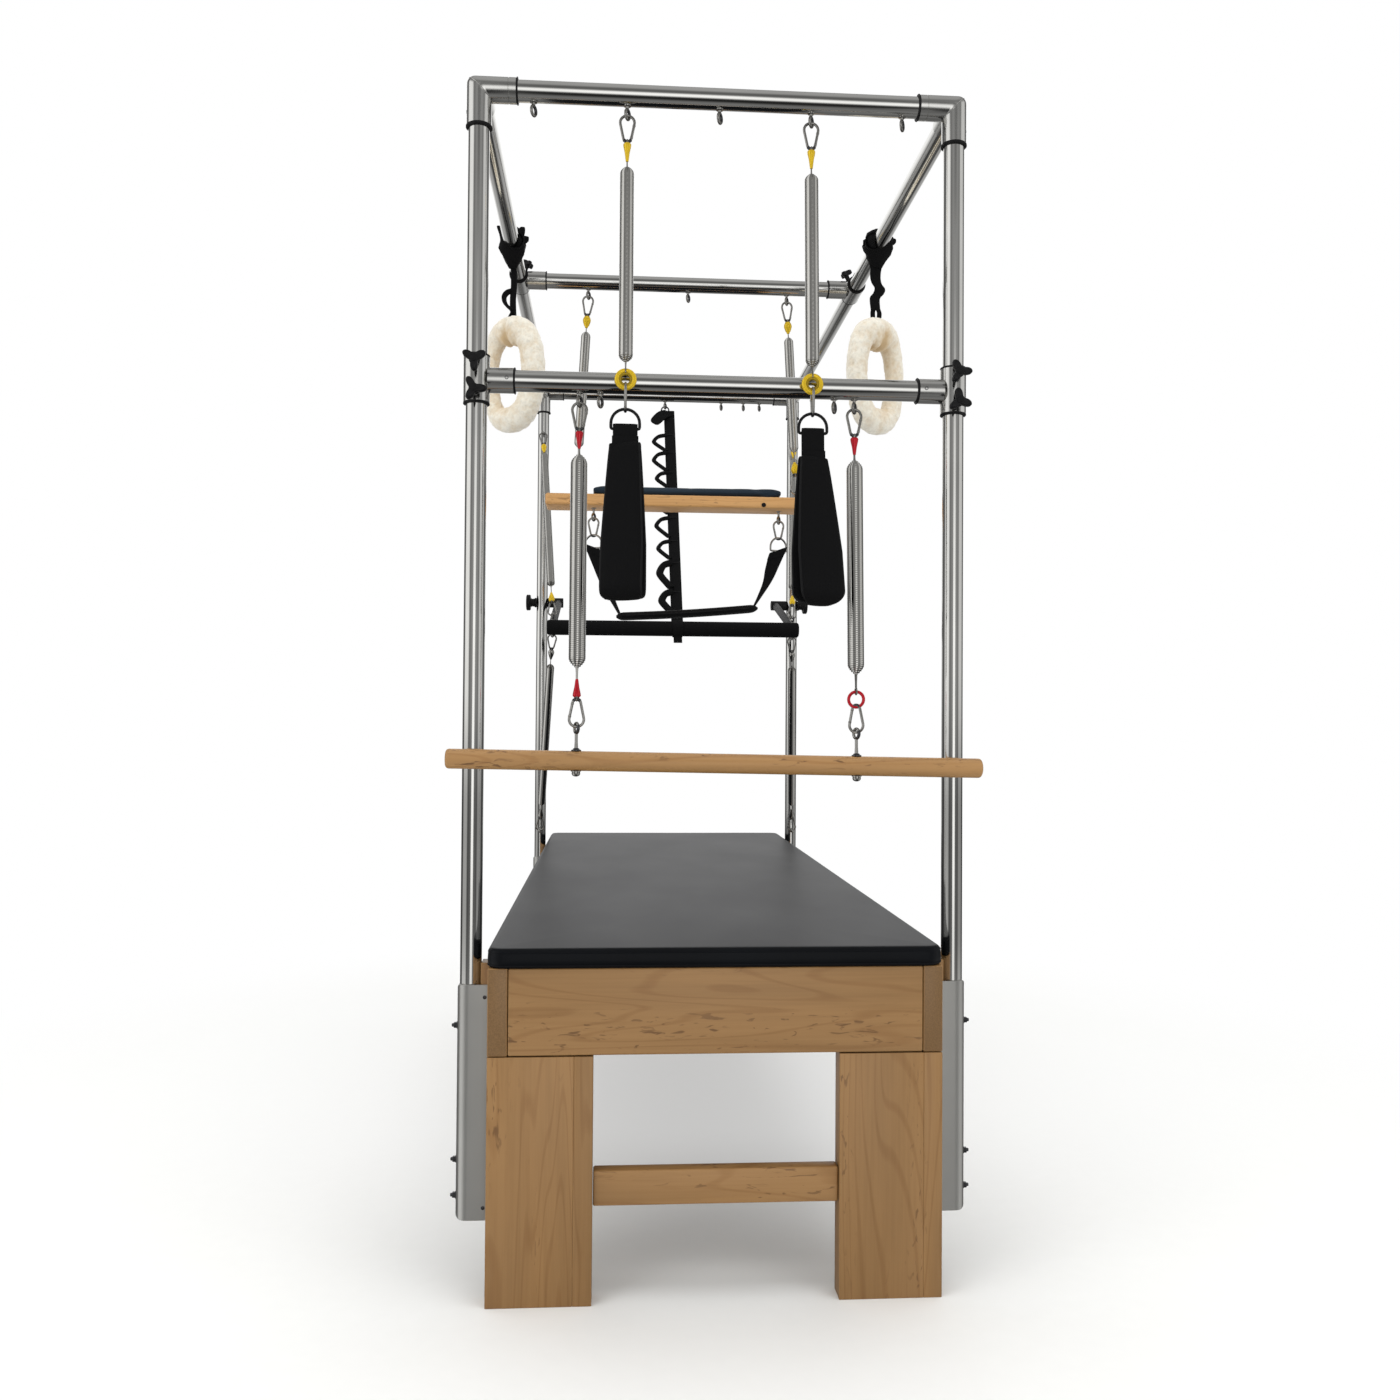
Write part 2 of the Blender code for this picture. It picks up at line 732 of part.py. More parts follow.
def tee_collar(name, centre, run, branch, skin, welded=False):
    """A sleeve along run, with a socket for a bar along branch.

    A welded collar has no deep socket: the bar ends in its mouth, and the bar's
    hollow runs on into the sleeve.
    """
    centre = Vector(centre)
    half = run * COLLAR_LENGTH / 2
    sleeve = cylinder(name, COLLAR_RADIUS, centre - half, centre + half, skin)
    socket = cylinder("socket", SOCKET_RADIUS, centre, centre + branch * SOCKET_REACH, skin)
    unite(sleeve, [socket])
    through = cylinder("through", BORE_RADIUS, centre - half * 1.1, centre + half * 1.1, skin)
    radius = TUBE_RADIUS - TUBE_WALL + CLEARANCE if welded else BORE_RADIUS
    start = centre if welded else centre + branch * SOCKET_STOP
    blind = cylinder("blind", radius, start, centre + branch * (SOCKET_REACH + SINK), skin)
    return smooth(cut(sleeve, [through, blind]))


def stud_hole(centre, direction):
    """The cutter for a clamp screw's hole through a collar."""
    start = Vector(centre) + direction * (TUBE_RADIUS - SINK)
    return cylinder("stud_hole", running_bore(STUD_RADIUS, 8), start,
                    start + direction * STUD_RADIUS * 3, black_plastic(), 8)


def star_knob(name, root):
    """A three-lobed clamp knob facing -Y, its stud ending at the post."""
    root = Vector(root)
    lobes = 3
    points = 15
    outline = []
    for i in range(points):
        angle = tau * i / points + pi / 2
        swell = (1 + cos(lobes * (angle - pi / 2))) / 2
        radius = STAR_HUB + (STAR_RADIUS - STAR_HUB) * swell
        outline.append((radius * cos(angle), radius * sin(angle)))
    knob = flat_shape(name, outline, STAR_THICKNESS / 2, black_plastic())
    face = COLLAR_RADIUS + CLEARANCE
    knob_y = face + STAR_BOSS_LENGTH + STAR_THICKNESS / 2 - SINK
    knob.data.transform(frame_along(root - Y_AXIS * knob_y, -Y_AXIS))
    boss = cylinder("boss", STAR_BOSS_RADIUS, root - Y_AXIS * face,
                    root - Y_AXIS * (face + STAR_BOSS_LENGTH), black_plastic(), 8)
    stud = cylinder("stud", STUD_RADIUS, root - Y_AXIS * (TUBE_RADIUS + CLEARANCE),
                    root - Y_AXIS * (face + STAR_BOSS_LENGTH / 2), bright_steel(), 8)
    return smooth(unite(knob, [boss, stud]))


def make_slide_bar():
    centre = Vector((0, -POST_Y, SLIDE_BAR_Z))
    carriage = pivot("front_bar_slide", centre)
    reach = POST_X - TUBE_INSET
    bar = tube("slide_bar", centre - X_AXIS * reach, centre + X_AXIS * reach, steel())
    eyes = [eyebolt((x, -POST_Y, SLIDE_BAR_Z), -Z_AXIS, X_AXIS) for x in SLIDE_BAR_EYES]
    hold(carriage, smooth(unite(bar, eyes)))
    for side, side_name in ((-1, "left"), (1, "right")):
        place = centre + X_AXIS * side * POST_X
        collar = tee_collar("slide_collar_" + side_name, place, Z_AXIS, -X_AXIS * side, aluminium())
        roots = [place + Z_AXIS * STAR_SPACING / 2, place - Z_AXIS * STAR_SPACING / 2]
        smooth(cut(collar, [stud_hole(root, -Y_AXIS) for root in roots]))
        hold(carriage, collar)
        for root, level in zip(roots, ("upper", "lower")):
            knob = star_knob("star_knob_%s_%s" % (level, side_name), root)
            screw = pivot("star_knob_turn_%s_%s" % (level, side_name), root)
            hold(screw, knob)
            hold(carriage, screw)


# Sliding top bar

def make_top_slider():
    centre = Vector((0, TOP_SLIDER_Y, RAIL_Z))
    carriage = pivot("top_bar_slide", centre)
    reach = POST_X - SOCKET_REACH + 2 * SINK
    bar = tube("top_slider", centre - X_AXIS * reach, centre + X_AXIS * reach, steel())
    eyes = [eyebolt((x, TOP_SLIDER_Y, RAIL_Z), -Z_AXIS, X_AXIS) for x in SLIDER_EYES]
    unite(bar, eyes)
    for side, side_name in ((-1, "left"), (1, "right")):
        place = centre + X_AXIS * side * POST_X
        direction = Vector((-side * sin(SLIDER_KNOB_TILT), 0, cos(SLIDER_KNOB_TILT)))
        collar = tee_collar("collar", place, Y_AXIS, -X_AXIS * side, aluminium(), welded=True)
        cut(collar, [stud_hole(place, direction)])
        unite(bar, [collar])
        knob = slider_knob("slider_knob_" + side_name, place, direction)
        screw = pivot("slider_knob_turn_" + side_name, place)
        hold(screw, knob)
        hold(carriage, screw)
    hold(carriage, smooth(bar))
    return carriage


def slider_knob(name, root, direction):
    """A small turned clamp knob on a stud."""
    face = SLIDER_KNOB_FACE
    top = face + SLIDER_KNOB_LENGTH
    neck = SLIDER_KNOB_RADIUS * 0.6
    profile = [(0, top), (SLIDER_KNOB_RADIUS * 0.8, top), (SLIDER_KNOB_RADIUS, top - 0.003),
               (SLIDER_KNOB_RADIUS, top - 0.010), (neck, top - 0.014), (neck, face),
               (STUD_RADIUS, face), (STUD_RADIUS, TUBE_RADIUS + CLEARANCE),
               (0, TUBE_RADIUS + CLEARANCE)]
    return turned(name, profile, frame_along(root, direction), black_plastic(), 8)


# Springs

def pear_outline(length, wide, narrow, wide_points, narrow_points):
    """The centreline (u, v) of a pear, from its wide end at v = 0 down to -length."""
    upper = (0, -wide)
    lower = (0, -length + narrow)
    lean = asin((wide - narrow) / (upper[1] - lower[1]))
    outline = arc(upper, wide, -lean, pi + lean, wide_points)
    return outline + arc(lower, narrow, pi + lean, tau - lean, narrow_points)


def pear_link(name, top, length, skin, wide_end_up=True, plane="XZ", resolution=1):
    """A pear-shaped snap link hanging from top, as a closed loop of wire."""
    outline = pear_outline(length, LINK_WIDE, LINK_NARROW, 5, 3)
    if not wide_end_up:
        outline = [(-u, -length - v) for u, v in outline]
    if plane == "XZ":
        points = [(u, 0, v + top) for u, v in outline]
    else:
        points = [(0, u, v + top) for u, v in outline]
    return wire(name, points, LINK_WIRE, skin, True, resolution)


def coil_points(start, top, bottom, end, radius, curls):
    """A wire from start down its axis, round the curls and out along the axis to end."""
    count = curls * CURL_POINTS
    taper = CURL_POINTS // 2
    points = [Vector((0, 0, start))]
    for i in range(count + 1):
        share = min(1.0, i / taper, (count - i) / taper)
        reach = radius * sin(share * pi / 2)
        angle = tau * i / CURL_POINTS
        height = top + (bottom - top) * i / count
        points.append(Vector((reach * cos(angle), reach * sin(angle), height)))
    points.append(Vector((0, 0, end)))
    return points


def least_gap(points, wire_radius):
    """The least gap between stretches of a wire that are half a curl or more apart."""
    least = min((a - b).length for i, a in enumerate(points)
                for b in points[i + CURL_POINTS // 2:])
    return least - 2 * wire_radius


def spring(name, length, body, coil, wire_radius, curls, end_ring, ring_wire, skin,
           lower_link=True, fine=False):
    """A spring hung from an eye at the origin. Its lower end is at -length.

    With a lower link, -length is the centre of the eye it holds. Without one, it is
    the centre of the lower ring, which faces -Y. A fine spring has rounder links.
    """
    link_top = -HOOK_DEPTH
    grip = LINK_WIRE + ring_wire - LINK_SINK
    upper_ring = link_top - LINK_LENGTH + grip - end_ring
    rounding = 1 if fine else 0
    turned_axis = Vector((cos(RING_TURN), sin(RING_TURN), 0))
    pieces = [pear_link("upper_link", link_top, LINK_LENGTH, bright_steel(), True, "XZ",
                        rounding),
              ring("upper_ring", end_ring, ring_wire, (0, 0, upper_ring), turned_axis, skin, 8, 4)]
    if lower_link:
        link_bottom = -length + HOOK_DEPTH
        lower_ring = link_bottom + LINK_LENGTH - grip + end_ring
        pieces.append(pear_link("lower_link", link_bottom + LINK_LENGTH, LINK_LENGTH,
                                bright_steel(), False, "XZ", rounding))
        pieces.append(ring("lower_ring", end_ring, ring_wire, (0, 0, lower_ring),
                           turned_axis, skin, 8, 4))
    else:
        lower_ring = -length
        pieces.append(ring("lower_ring", end_ring, ring_wire, (0, 0, lower_ring), Y_AXIS,
                           skin, 12, 5))
    start = upper_ring - end_ring
    end = lower_ring + end_ring
    body_top = (start + end + body) / 2
    points = coil_points(start, body_top, body_top - body, end, coil, curls)
    print("%s: least gap %.2f mm" % (name, least_gap(points, wire_radius) * 1000))
    return smooth(unite(wire(name, points, wire_radius, steel()), pieces))


def yellow():
    return material("Yellow coat", (0.75, 0.55, 0.03), 0.45)


def red():
    return material("Red coat", (0.60, 0.02, 0.03), 0.45)


# Arm springs with hand loops

def make_arm_springs():
    eye_z = RAIL_Z - TUBE_RADIUS - EYE_DROP
    for side, side_name in ((-1, "left"), (1, "right")):
        top = Vector((side * ARM_X, -POST_Y, eye_z))
        lower = top + Matrix.Rotation(-ARM_TILT, 3, "X") @ Vector((0, 0, -ARM_RING_DROP))
        frame = hang_frame(top, lower)
        swing = pivot("arm_spring_swing_" + side_name, top)
        coil = spring("arm_spring_" + side_name, ARM_RING_DROP, ARM_BODY, ARM_COIL, ARM_WIRE,
                      ARM_CURLS, ARM_RING, ARM_RING_WIRE, yellow(), False, True)
        coil.matrix_world = frame
        stretch = pivot("arm_spring_stretch_" + side_name, lower)
        handle = hand_loop("hand_loop_" + side_name)
        handle.matrix_world = frame
        bpy.context.view_layer.update()
        hold(swing, coil, stretch)
        hold(stretch, handle)


def hand_loop(name):
    """A snap link, a D-ring and a padded loop, below the spring's lower ring."""
    link_top = -ARM_RING_DROP - ARM_RING + ARM_RING_WIRE + LINK_WIRE + 3 * CLEARANCE
    d_top = link_top - HAND_LINK_LENGTH + 2 * LINK_WIRE - LINK_SINK
    snap = pear_link("snap", link_top, HAND_LINK_LENGTH, bright_steel(), True, "YZ")
    d_ring = wire("d_ring", d_outline(d_top, HAND_D_WIDTH, HAND_D_HEIGHT), LINK_WIRE,
                  black_plastic(), cyclic=True)
    tab_top = d_top - HAND_D_HEIGHT + 2 * LINK_WIRE
    tab_bottom = tab_top - HAND_TAB_LENGTH
    tab = board("tab", (HAND_TAB_WIDTH, HAND_TAB_THICKNESS, HAND_TAB_LENGTH),
                (0, 0, (tab_top + tab_bottom) / 2), black_webbing(), 0)
    bake_place(tab)
    band = hand_band(name, tab_bottom + HAND_BAND_THICKNESS)
    return smooth(unite(band, [tab, d_ring, snap]))


def bake_place(obj):
    """Move an object's place into its mesh."""
    obj.data.transform(Matrix.Translation(obj.location))
    obj.location = (0, 0, 0)


def d_outline(top, half_width, height):
    """A D with its round side up, in the XZ plane."""
    low = top - height
    points = [(half_width * cos(a), 0, top - half_width + half_width * sin(a))
              for a in (radians(d) for d in (0, 36, 72, 108, 144, 180))]
    return points + [(-half_width, 0, low), (half_width, 0, low)]


def hand_band(name, top):
    """The loop's band: narrow and pinched at the top, wide and round at the bottom."""
    shape = pear_outline(HAND_LOOP_LENGTH, HAND_LOOP_DEPTH, HAND_BAND_THICKNESS * 0.7, 8, 4)
    points = []
    widths = []
    for u, v in shape:
        height = -HAND_LOOP_LENGTH - v
        share = -height / HAND_LOOP_LENGTH
        points.append((0, -u, top + height))
        widths.append(HAND_BAND_TOP + (HAND_BAND_BOTTOM - HAND_BAND_TOP) * share)
    return ribbon(name, points, widths, HAND_BAND_THICKNESS, X_AXIS, black_webbing(), closed=True)


# Roll-down bar

def make_roll_down():
    eye_z = SLIDE_BAR_Z - TUBE_RADIUS - EYE_DROP
    lean = asin((TUBE_RADIUS + ROLL_RADIUS + 2 * CLEARANCE) / ROLL_DROP)
    swing = pivot("roll_down_swing", (0, -POST_Y, eye_z))
    frame = Matrix.Translation((0, -POST_Y, eye_z)) @ Matrix.Rotation(-lean, 4, "X")
    bar = roll_bar("roll_down_bar")
    bar.matrix_world = frame
    springs = []
    for side, side_name in ((-1, "left"), (1, "right")):
        drop = ROLL_DROP - ROLL_RADIUS - ROLL_EYE_LIFT + side * RED_X * sin(ROLL_SLOPE)
        coil = spring("roll_spring_" + side_name, drop, RED_BODY, RED_COIL, RED_WIRE,
                      RED_CURLS, RED_RING, RED_RING_WIRE, red(), True, True)
        coil.matrix_world = frame @ Matrix.Translation((side * RED_X, 0, 0))
        springs.append(coil)
    bpy.context.view_layer.update()
    pull = pivot("roll_down_pull", (0, -POST_Y, eye_z - ROLL_DROP))
    hold(swing, *springs, pull)
    hold(pull, bar)
    carriage = bpy.data.objects["front_bar_slide"]
    hold(carriage, swing)


def roll_bar(name):
    """A round wooden bar with two eyebolts through it, in the hanging frame."""
    half = ROLL_LENGTH / 2
    edge = 0.006
    profile = [(0, half), (ROLL_RADIUS - edge, half), (ROLL_RADIUS, half - edge),
               (ROLL_RADIUS, -half + edge), (ROLL_RADIUS - edge, -half), (0, -half)]
    slope = Matrix.Rotation(ROLL_SLOPE, 4, "Y")
    matrix = Matrix.Translation((0, 0, -ROLL_DROP)) @ slope @ frame_along((0, 0, 0), X_AXIS)
    bar = turned(name, profile, matrix, maple(), 12)
    pieces = []
    for side in (-1, 1):
        x = side * RED_X
        level = -ROLL_DROP - x * sin(ROLL_SLOPE)
        centre = Vector((x, 0, level + ROLL_RADIUS + ROLL_EYE_LIFT))
        pieces.append(eye_ring(centre, X_AXIS))
        pieces.append(cylinder("shank", EYE_SHANK, centre - Z_AXIS * EYE_RADIUS,
                               (x, 0, level), bright_steel(), 6))
        pieces.append(cylinder("nut", ROLL_NUT_RADIUS, (x, 0, level),
                               (x, 0, level - ROLL_RADIUS - ROLL_NUT), bright_steel(), 6))
    return smooth(unite(bar, pieces))


# Trapeze

def make_trapeze(carriage):
    eye_z = RAIL_Z - TUBE_RADIUS - EYE_DROP
    swing = pivot("trapeze_swing", (0, TOP_SLIDER_Y, eye_z))
    plank_eye_z = PLANK_Z + PLANK_THICKNESS / 2 + EYE_DROP
    for side, side_name in ((-1, "left"), (1, "right")):
        top = Vector((side * SLIDER_EYES[-1], TOP_SLIDER_Y, eye_z))
        low = Vector((side * PLANK_EYE_X, TOP_SLIDER_Y, plank_eye_z))
        coil = spring("trapeze_spring_" + side_name, (top - low).length, SWING_BODY, SWING_COIL,
                      SWING_WIRE, SWING_CURLS, BACK_RING, BACK_RING_WIRE, yellow())
        coil.matrix_world = hang_frame(top, low)
        bpy.context.view_layer.update()
        hold(swing, coil)
    pull = pivot("trapeze_pull", (0, TOP_SLIDER_Y, PLANK_Z))
    hold(swing, pull)
    hold(carriage, swing)
    plank = board("trapeze_plank", (PLANK_LENGTH, PLANK_DEPTH, PLANK_THICKNESS),
                  (0, TOP_SLIDER_Y, PLANK_Z), maple(), 0.004)
    bake(plank)
    bake_place(plank)
    pieces = []
    for side in (-1, 1):
        pieces += plank_eyes(side)
    hold(pull, unite(plank, pieces))
    pad_z = PLANK_Z + PLANK_THICKNESS / 2 + CLEARANCE + PAD_THICKNESS / 2
    pad = board("trapeze_pad", (PAD_LENGTH, PLANK_DEPTH, PAD_THICKNESS),
                (0, TOP_SLIDER_Y, pad_z), blue_vinyl(), 0.006)
    hold(pull, pad)
    sling_z = PLANK_Z - PLANK_THICKNESS / 2 - EYE_DROP
    sling_swing = pivot("sling_swing", (0, TOP_SLIDER_Y, sling_z))
    hold(pull, sling_swing)
    hold(sling_swing, sling("sling", sling_z))


def plank_eyes(side):
    """The plank's upper eye for its spring and lower eye for the sling."""
    pieces = []
    for x, up in ((side * PLANK_EYE_X, 1), (side * SLING_X, -1)):
        face = PLANK_Z + up * PLANK_THICKNESS / 2
        centre = Vector((x, TOP_SLIDER_Y, face + up * EYE_DROP))
        eye = eye_ring(centre, X_AXIS)
        shank = cylinder("shank", EYE_SHANK, (x, TOP_SLIDER_Y, face - up * 0.006),
                         centre - Z_AXIS * up * EYE_RADIUS, bright_steel(), 6)
        pieces.append(unite(eye, [shank]))
    return pieces


def sling(name, eye_z):
    """A padded band on two tapering straps, hung from two snap links."""
    top = -HOOK_DEPTH
    d_top = top - SLING_LINK + 2 * LINK_WIRE - LINK_SINK
    strap_top = d_top - SLING_D_HEIGHT
    path = [(-SLING_X, strap_top), (-SLING_X + 0.018, strap_top - 0.05),
            (-SLING_BAND_X - 0.012, -SLING_BAND_DROP + 0.035),
            (-SLING_BAND_X + 0.010, -SLING_BAND_DROP + 0.006), (-0.08, -SLING_BAND_DROP)]
    path += [(-u, v) for u, v in reversed(path)]
    half = [SLING_STRAP_WIDTH, SLING_STRAP_WIDTH, SLING_BAND_WIDTH, SLING_BAND_WIDTH,
            SLING_BAND_WIDTH]
    widths = half + list(reversed(half))
    band = ribbon(name, [(u, TOP_SLIDER_Y, v + eye_z) for u, v in path], widths,
                  SLING_THICKNESS, Y_AXIS, black_webbing())
    pieces = []
    for side in (-1, 1):
        shift = Matrix.Translation((side * SLING_X, TOP_SLIDER_Y, eye_z))
        quarter = shift @ Matrix.Rotation(pi / 2, 4, "Z")
        snap = pear_link("snap", top, SLING_LINK, bright_steel(), resolution=0)
        snap.data.transform(shift)
        d_ring = wire("d_ring", d_outline(d_top, SLING_D_WIDTH, SLING_D_HEIGHT), LINK_WIRE,
                      bright_steel(), cyclic=True, resolution=0)
        d_ring.data.transform(quarter)
        pieces += [d_ring, snap]
    return smooth(unite(band, pieces))


# Push-through bar

def make_push_bar():
    axis_place = Vector((0, POST_Y, PUSH_PIVOT_Z))
    bar_centre = Vector((0, PUSH_BAR_Y, PUSH_BAR_Z))
    swing = pivot("push_bar_swing", axis_place)
    frame = cylinder("push_bar_frame", PUSH_BAR_RADIUS, bar_centre - X_AXIS * PUSH_HALF_LENGTH,
                     bar_centre + X_AXIS * PUSH_HALF_LENGTH, black_plastic(), 12)
    back = (axis_place - bar_centre).normalized()
    pieces = []
    for side in (-1, 1):
        shift = X_AXIS * side * PUSH_ARM_X
        pieces.append(cylinder("arm", PUSH_ARM_RADIUS, bar_centre + shift,
                               axis_place + shift, black_plastic(), 10))
        outer = axis_place + X_AXIS * side * (POST_X - TUBE_RADIUS - CLEARANCE)
        pieces.append(cylinder("boss", PIVOT_BOSS, outer,
                               axis_place + X_AXIS * side * (PUSH_ARM_X - PIVOT_BOSS),
                               steel(), 12))
        pieces += push_bar_eyes(bar_centre + shift + back * PUSH_EYE_BACK)
    unite(frame, pieces)
    holes = []
    for side in (-1, 1):
        outer = axis_place + X_AXIS * side * (POST_X - TUBE_RADIUS)
        inner = axis_place + X_AXIS * side * PUSH_ARM_X
        holes.append(cylinder("hole", running_bore(PIN_RADIUS, 8), outer, inner, steel(), 8))
    hold(swing, smooth(cut(frame, holes)))
    hold(swing, push_grip(bar_centre, axis_place))
    for side, side_name in ((-1, "left"), (1, "right")):
        knob = pivot_knob("push_bar_knob_" + side_name, side, axis_place)
        turn = pivot("push_bar_knob_turn_" + side_name, axis_place + X_AXIS * side * POST_X)
        hold(turn, knob)
        hold(swing, turn)
    make_back_springs(bar_centre, back)


def push_bar_eyes(place):
    """The two spring eyes above and below an arm."""
    pieces = []
    for up in (1, -1):
        centre = place + Z_AXIS * up * (PUSH_BAR_RADIUS + EYE_DROP)
        eye = eye_ring(centre, X_AXIS)
        shank = cylinder("shank", EYE_SHANK, place, centre - Z_AXIS * up * EYE_RADIUS,
                         bright_steel(), 6)
        pieces.append(unite(eye, [shank]))
    return pieces


def push_grip(bar_centre, axis_place):
    """The foam grip over the crossbar, cut away for the two arms."""
    length = 2 * GRIP_HALF_LENGTH
    bore = running_bore(PUSH_BAR_RADIUS, 12)
    edge = 0.004
    profile = [(GRIP_RADIUS - edge, length), (GRIP_RADIUS, length - edge), (GRIP_RADIUS, edge),
               (GRIP_RADIUS - edge, 0), (bore, 0), (bore, length)]
    start = bar_centre - X_AXIS * GRIP_HALF_LENGTH
    grip = turned("push_bar_grip", profile, frame_along(start, X_AXIS), black_webbing(), 12)
    notches = []
    for side in (-1, 1):
        shift = X_AXIS * side * PUSH_ARM_X
        notches.append(cylinder("notch", running_bore(PUSH_ARM_RADIUS, 10),
                                bar_centre + shift, (axis_place + bar_centre) / 2 + shift,
                                steel(), 10))
    return smooth(cut(grip, notches))


def pivot_knob(name, side, axis_place):
    """A T-knob outside the post, on a pin that carries the push-through bar."""
    face = POST_X + TUBE_RADIUS + CLEARANCE
    tip = PUSH_ARM_X + 0.002
    neck = face + PIVOT_NECK
    head = neck + PIVOT_HEAD
    edge = 0.003
    profile = [(0, head), (PIVOT_KNOB_RADIUS - edge, head), (PIVOT_KNOB_RADIUS, head - edge),
               (PIVOT_KNOB_RADIUS, neck + edge), (PIVOT_KNOB_RADIUS - edge, neck),
               (PIVOT_NECK_RADIUS, neck - edge), (PIVOT_NECK_RADIUS, face),
               (PIN_RADIUS, face), (PIN_RADIUS, tip), (0, tip)]
    return turned(name, profile, frame_along(axis_place, X_AXIS * side), black_plastic(), 8)


def make_back_springs(bar_centre, back):
    """The four springs between the rear posts and the push-through bar."""
    for side, side_name in ((-1, "left"), (1, "right")):
        arm_eye = bar_centre + X_AXIS * side * PUSH_ARM_X + back * PUSH_EYE_BACK
        lift = Z_AXIS * (PUSH_BAR_RADIUS + EYE_DROP)
        post_front = Vector((side * POST_X, POST_Y - TUBE_RADIUS - EYE_DROP, 0))
        ends = ((post_front + Z_AXIS * UPPER_EYE_Z, arm_eye + lift, UPPER_BODY, "upper"),
                (arm_eye - lift, post_front + Z_AXIS * LOWER_EYE_Z, LOWER_BODY, "lower"))
        for top, low, body, level in ends:
            coil = spring("push_bar_spring_%s_%s" % (level, side_name), (top - low).length,
                          body, BACK_COIL, BACK_WIRE, BACK_CURLS, BACK_RING, BACK_RING_WIRE,
                          yellow() if level == "upper" else steel())
            coil.matrix_world = hang_frame(top, low)
    bpy.context.view_layer.update()


# Fleece loops and the safety strap

def make_fleece_loop(name, side, y):
    """A fleece loop on a webbing strap that is wrapped round a top rail."""
    swing = pivot(name + "_swing", (side * POST_X, y, RAIL_Z))
    bore = running_bore(TUBE_RADIUS, 12)
    outer = bore + FLEECE_WRAP
    half = FLEECE_WRAP_WIDTH / 2
    profile = [(outer, half), (outer, -half), (bore, -half), (bore, half)]
    wrap = turned("wrap", profile, frame_along((0, 0, 0), Y_AXIS), black_webbing(), 12)
    knot_z = -outer - FLEECE_KNOT / 2 + FLEECE_WRAP * 0.7
    knot = board("knot", (FLEECE_KNOT * 0.7, FLEECE_WRAP_WIDTH, FLEECE_KNOT),
                 (0, 0, knot_z), black_webbing(), 0.006)
    bake(knot)
    bake_place(knot)
    strap_top = knot_z
    strap_low = -FLEECE_STRAP_END
    strap = ribbon("strap", [(0, 0, strap_top), (0, 0, strap_low)],
                   [FLEECE_STRAP_WIDTH] * 2, FLEECE_STRAP_THICKNESS, Y_AXIS, black_webbing())
    centre_z = strap_low - FLEECE_HALF_HEIGHT + FLEECE_TUBE * 0.4
    count = 14
    points = []
    for i in range(count):
        angle = tau * i / count
        u = FLEECE_HALF_WIDTH * cos(angle)
        points.append((u * cos(FLEECE_TURN), side * u * sin(FLEECE_TURN),
                       centre_z + FLEECE_HALF_HEIGHT * sin(angle)))
    loop = wire(name, points, FLEECE_TUBE, fleece(), cyclic=True, resolution=1)
    unite(loop, [strap, knot, wrap])
    loop.data.transform(Matrix.Translation((side * POST_X, y, RAIL_Z)))
    hold(swing, smooth(loop))


def make_safety_strap():
    """Webbing from the rear crossbar down to the push-through bar's grip."""
    top = Vector((SAFETY_X, POST_Y, RAIL_Z))
    low = Vector((SAFETY_X, PUSH_BAR_Y, PUSH_BAR_Z))
    away = (low - top).normalized()
    upper_wrap = TUBE_RADIUS + CLEARANCE + SAFETY_THICKNESS
    lower_wrap = GRIP_RADIUS + CLEARANCE + SAFETY_THICKNESS
    half = SAFETY_WIDTH / 2
    strap = ribbon("safety_strap", [top + away * (upper_wrap - SAFETY_THICKNESS / 2),
                                    low - away * (lower_wrap - SAFETY_THICKNESS / 2)],
                   [SAFETY_WIDTH] * 2, SAFETY_THICKNESS, X_AXIS, black_webbing())
    pieces = []
    for centre, inner, sides in ((top, TUBE_RADIUS, TUBE_SIDES), (low, GRIP_RADIUS, 12)):
        bore = (inner + CLEARANCE)
        outer = bore + SAFETY_THICKNESS
        profile = [(outer, half), (outer, -half), (bore, -half), (bore, half)]
        pieces.append(turned("wrap", profile, frame_along(centre, X_AXIS), black_webbing(), sides))
    smooth(unite(strap, pieces))


def main():
    clear_scene()
    make_mat()
    make_legs()
    make_box()
    make_brackets()
    make_posts()
    make_canopy()
    make_slide_bar()
    carriage = make_top_slider()
    make_trapeze(carriage)
    make_arm_springs()
    make_roll_down()
    make_push_bar()
    make_fleece_loop("fleece_loop_left", -1, FLEECE_LEFT_Y)
    make_fleece_loop("fleece_loop_right", 1, FLEECE_RIGHT_Y)
    make_safety_strap()


main()
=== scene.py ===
"""Looks of a pilates trapeze table: each surface, spring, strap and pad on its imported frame.

Metres, +Z up, in the frame's own coordinates: +X to the right and +Y along the table,
away from the end with the sliding bar.
"""

from math import asin, cos, pi, radians, sin, sqrt, tau

import bmesh
import bpy
import numpy as np
from bpy.props import FloatProperty, FloatVectorProperty, IntProperty, PointerProperty
from mathutils import Matrix, Vector, noise


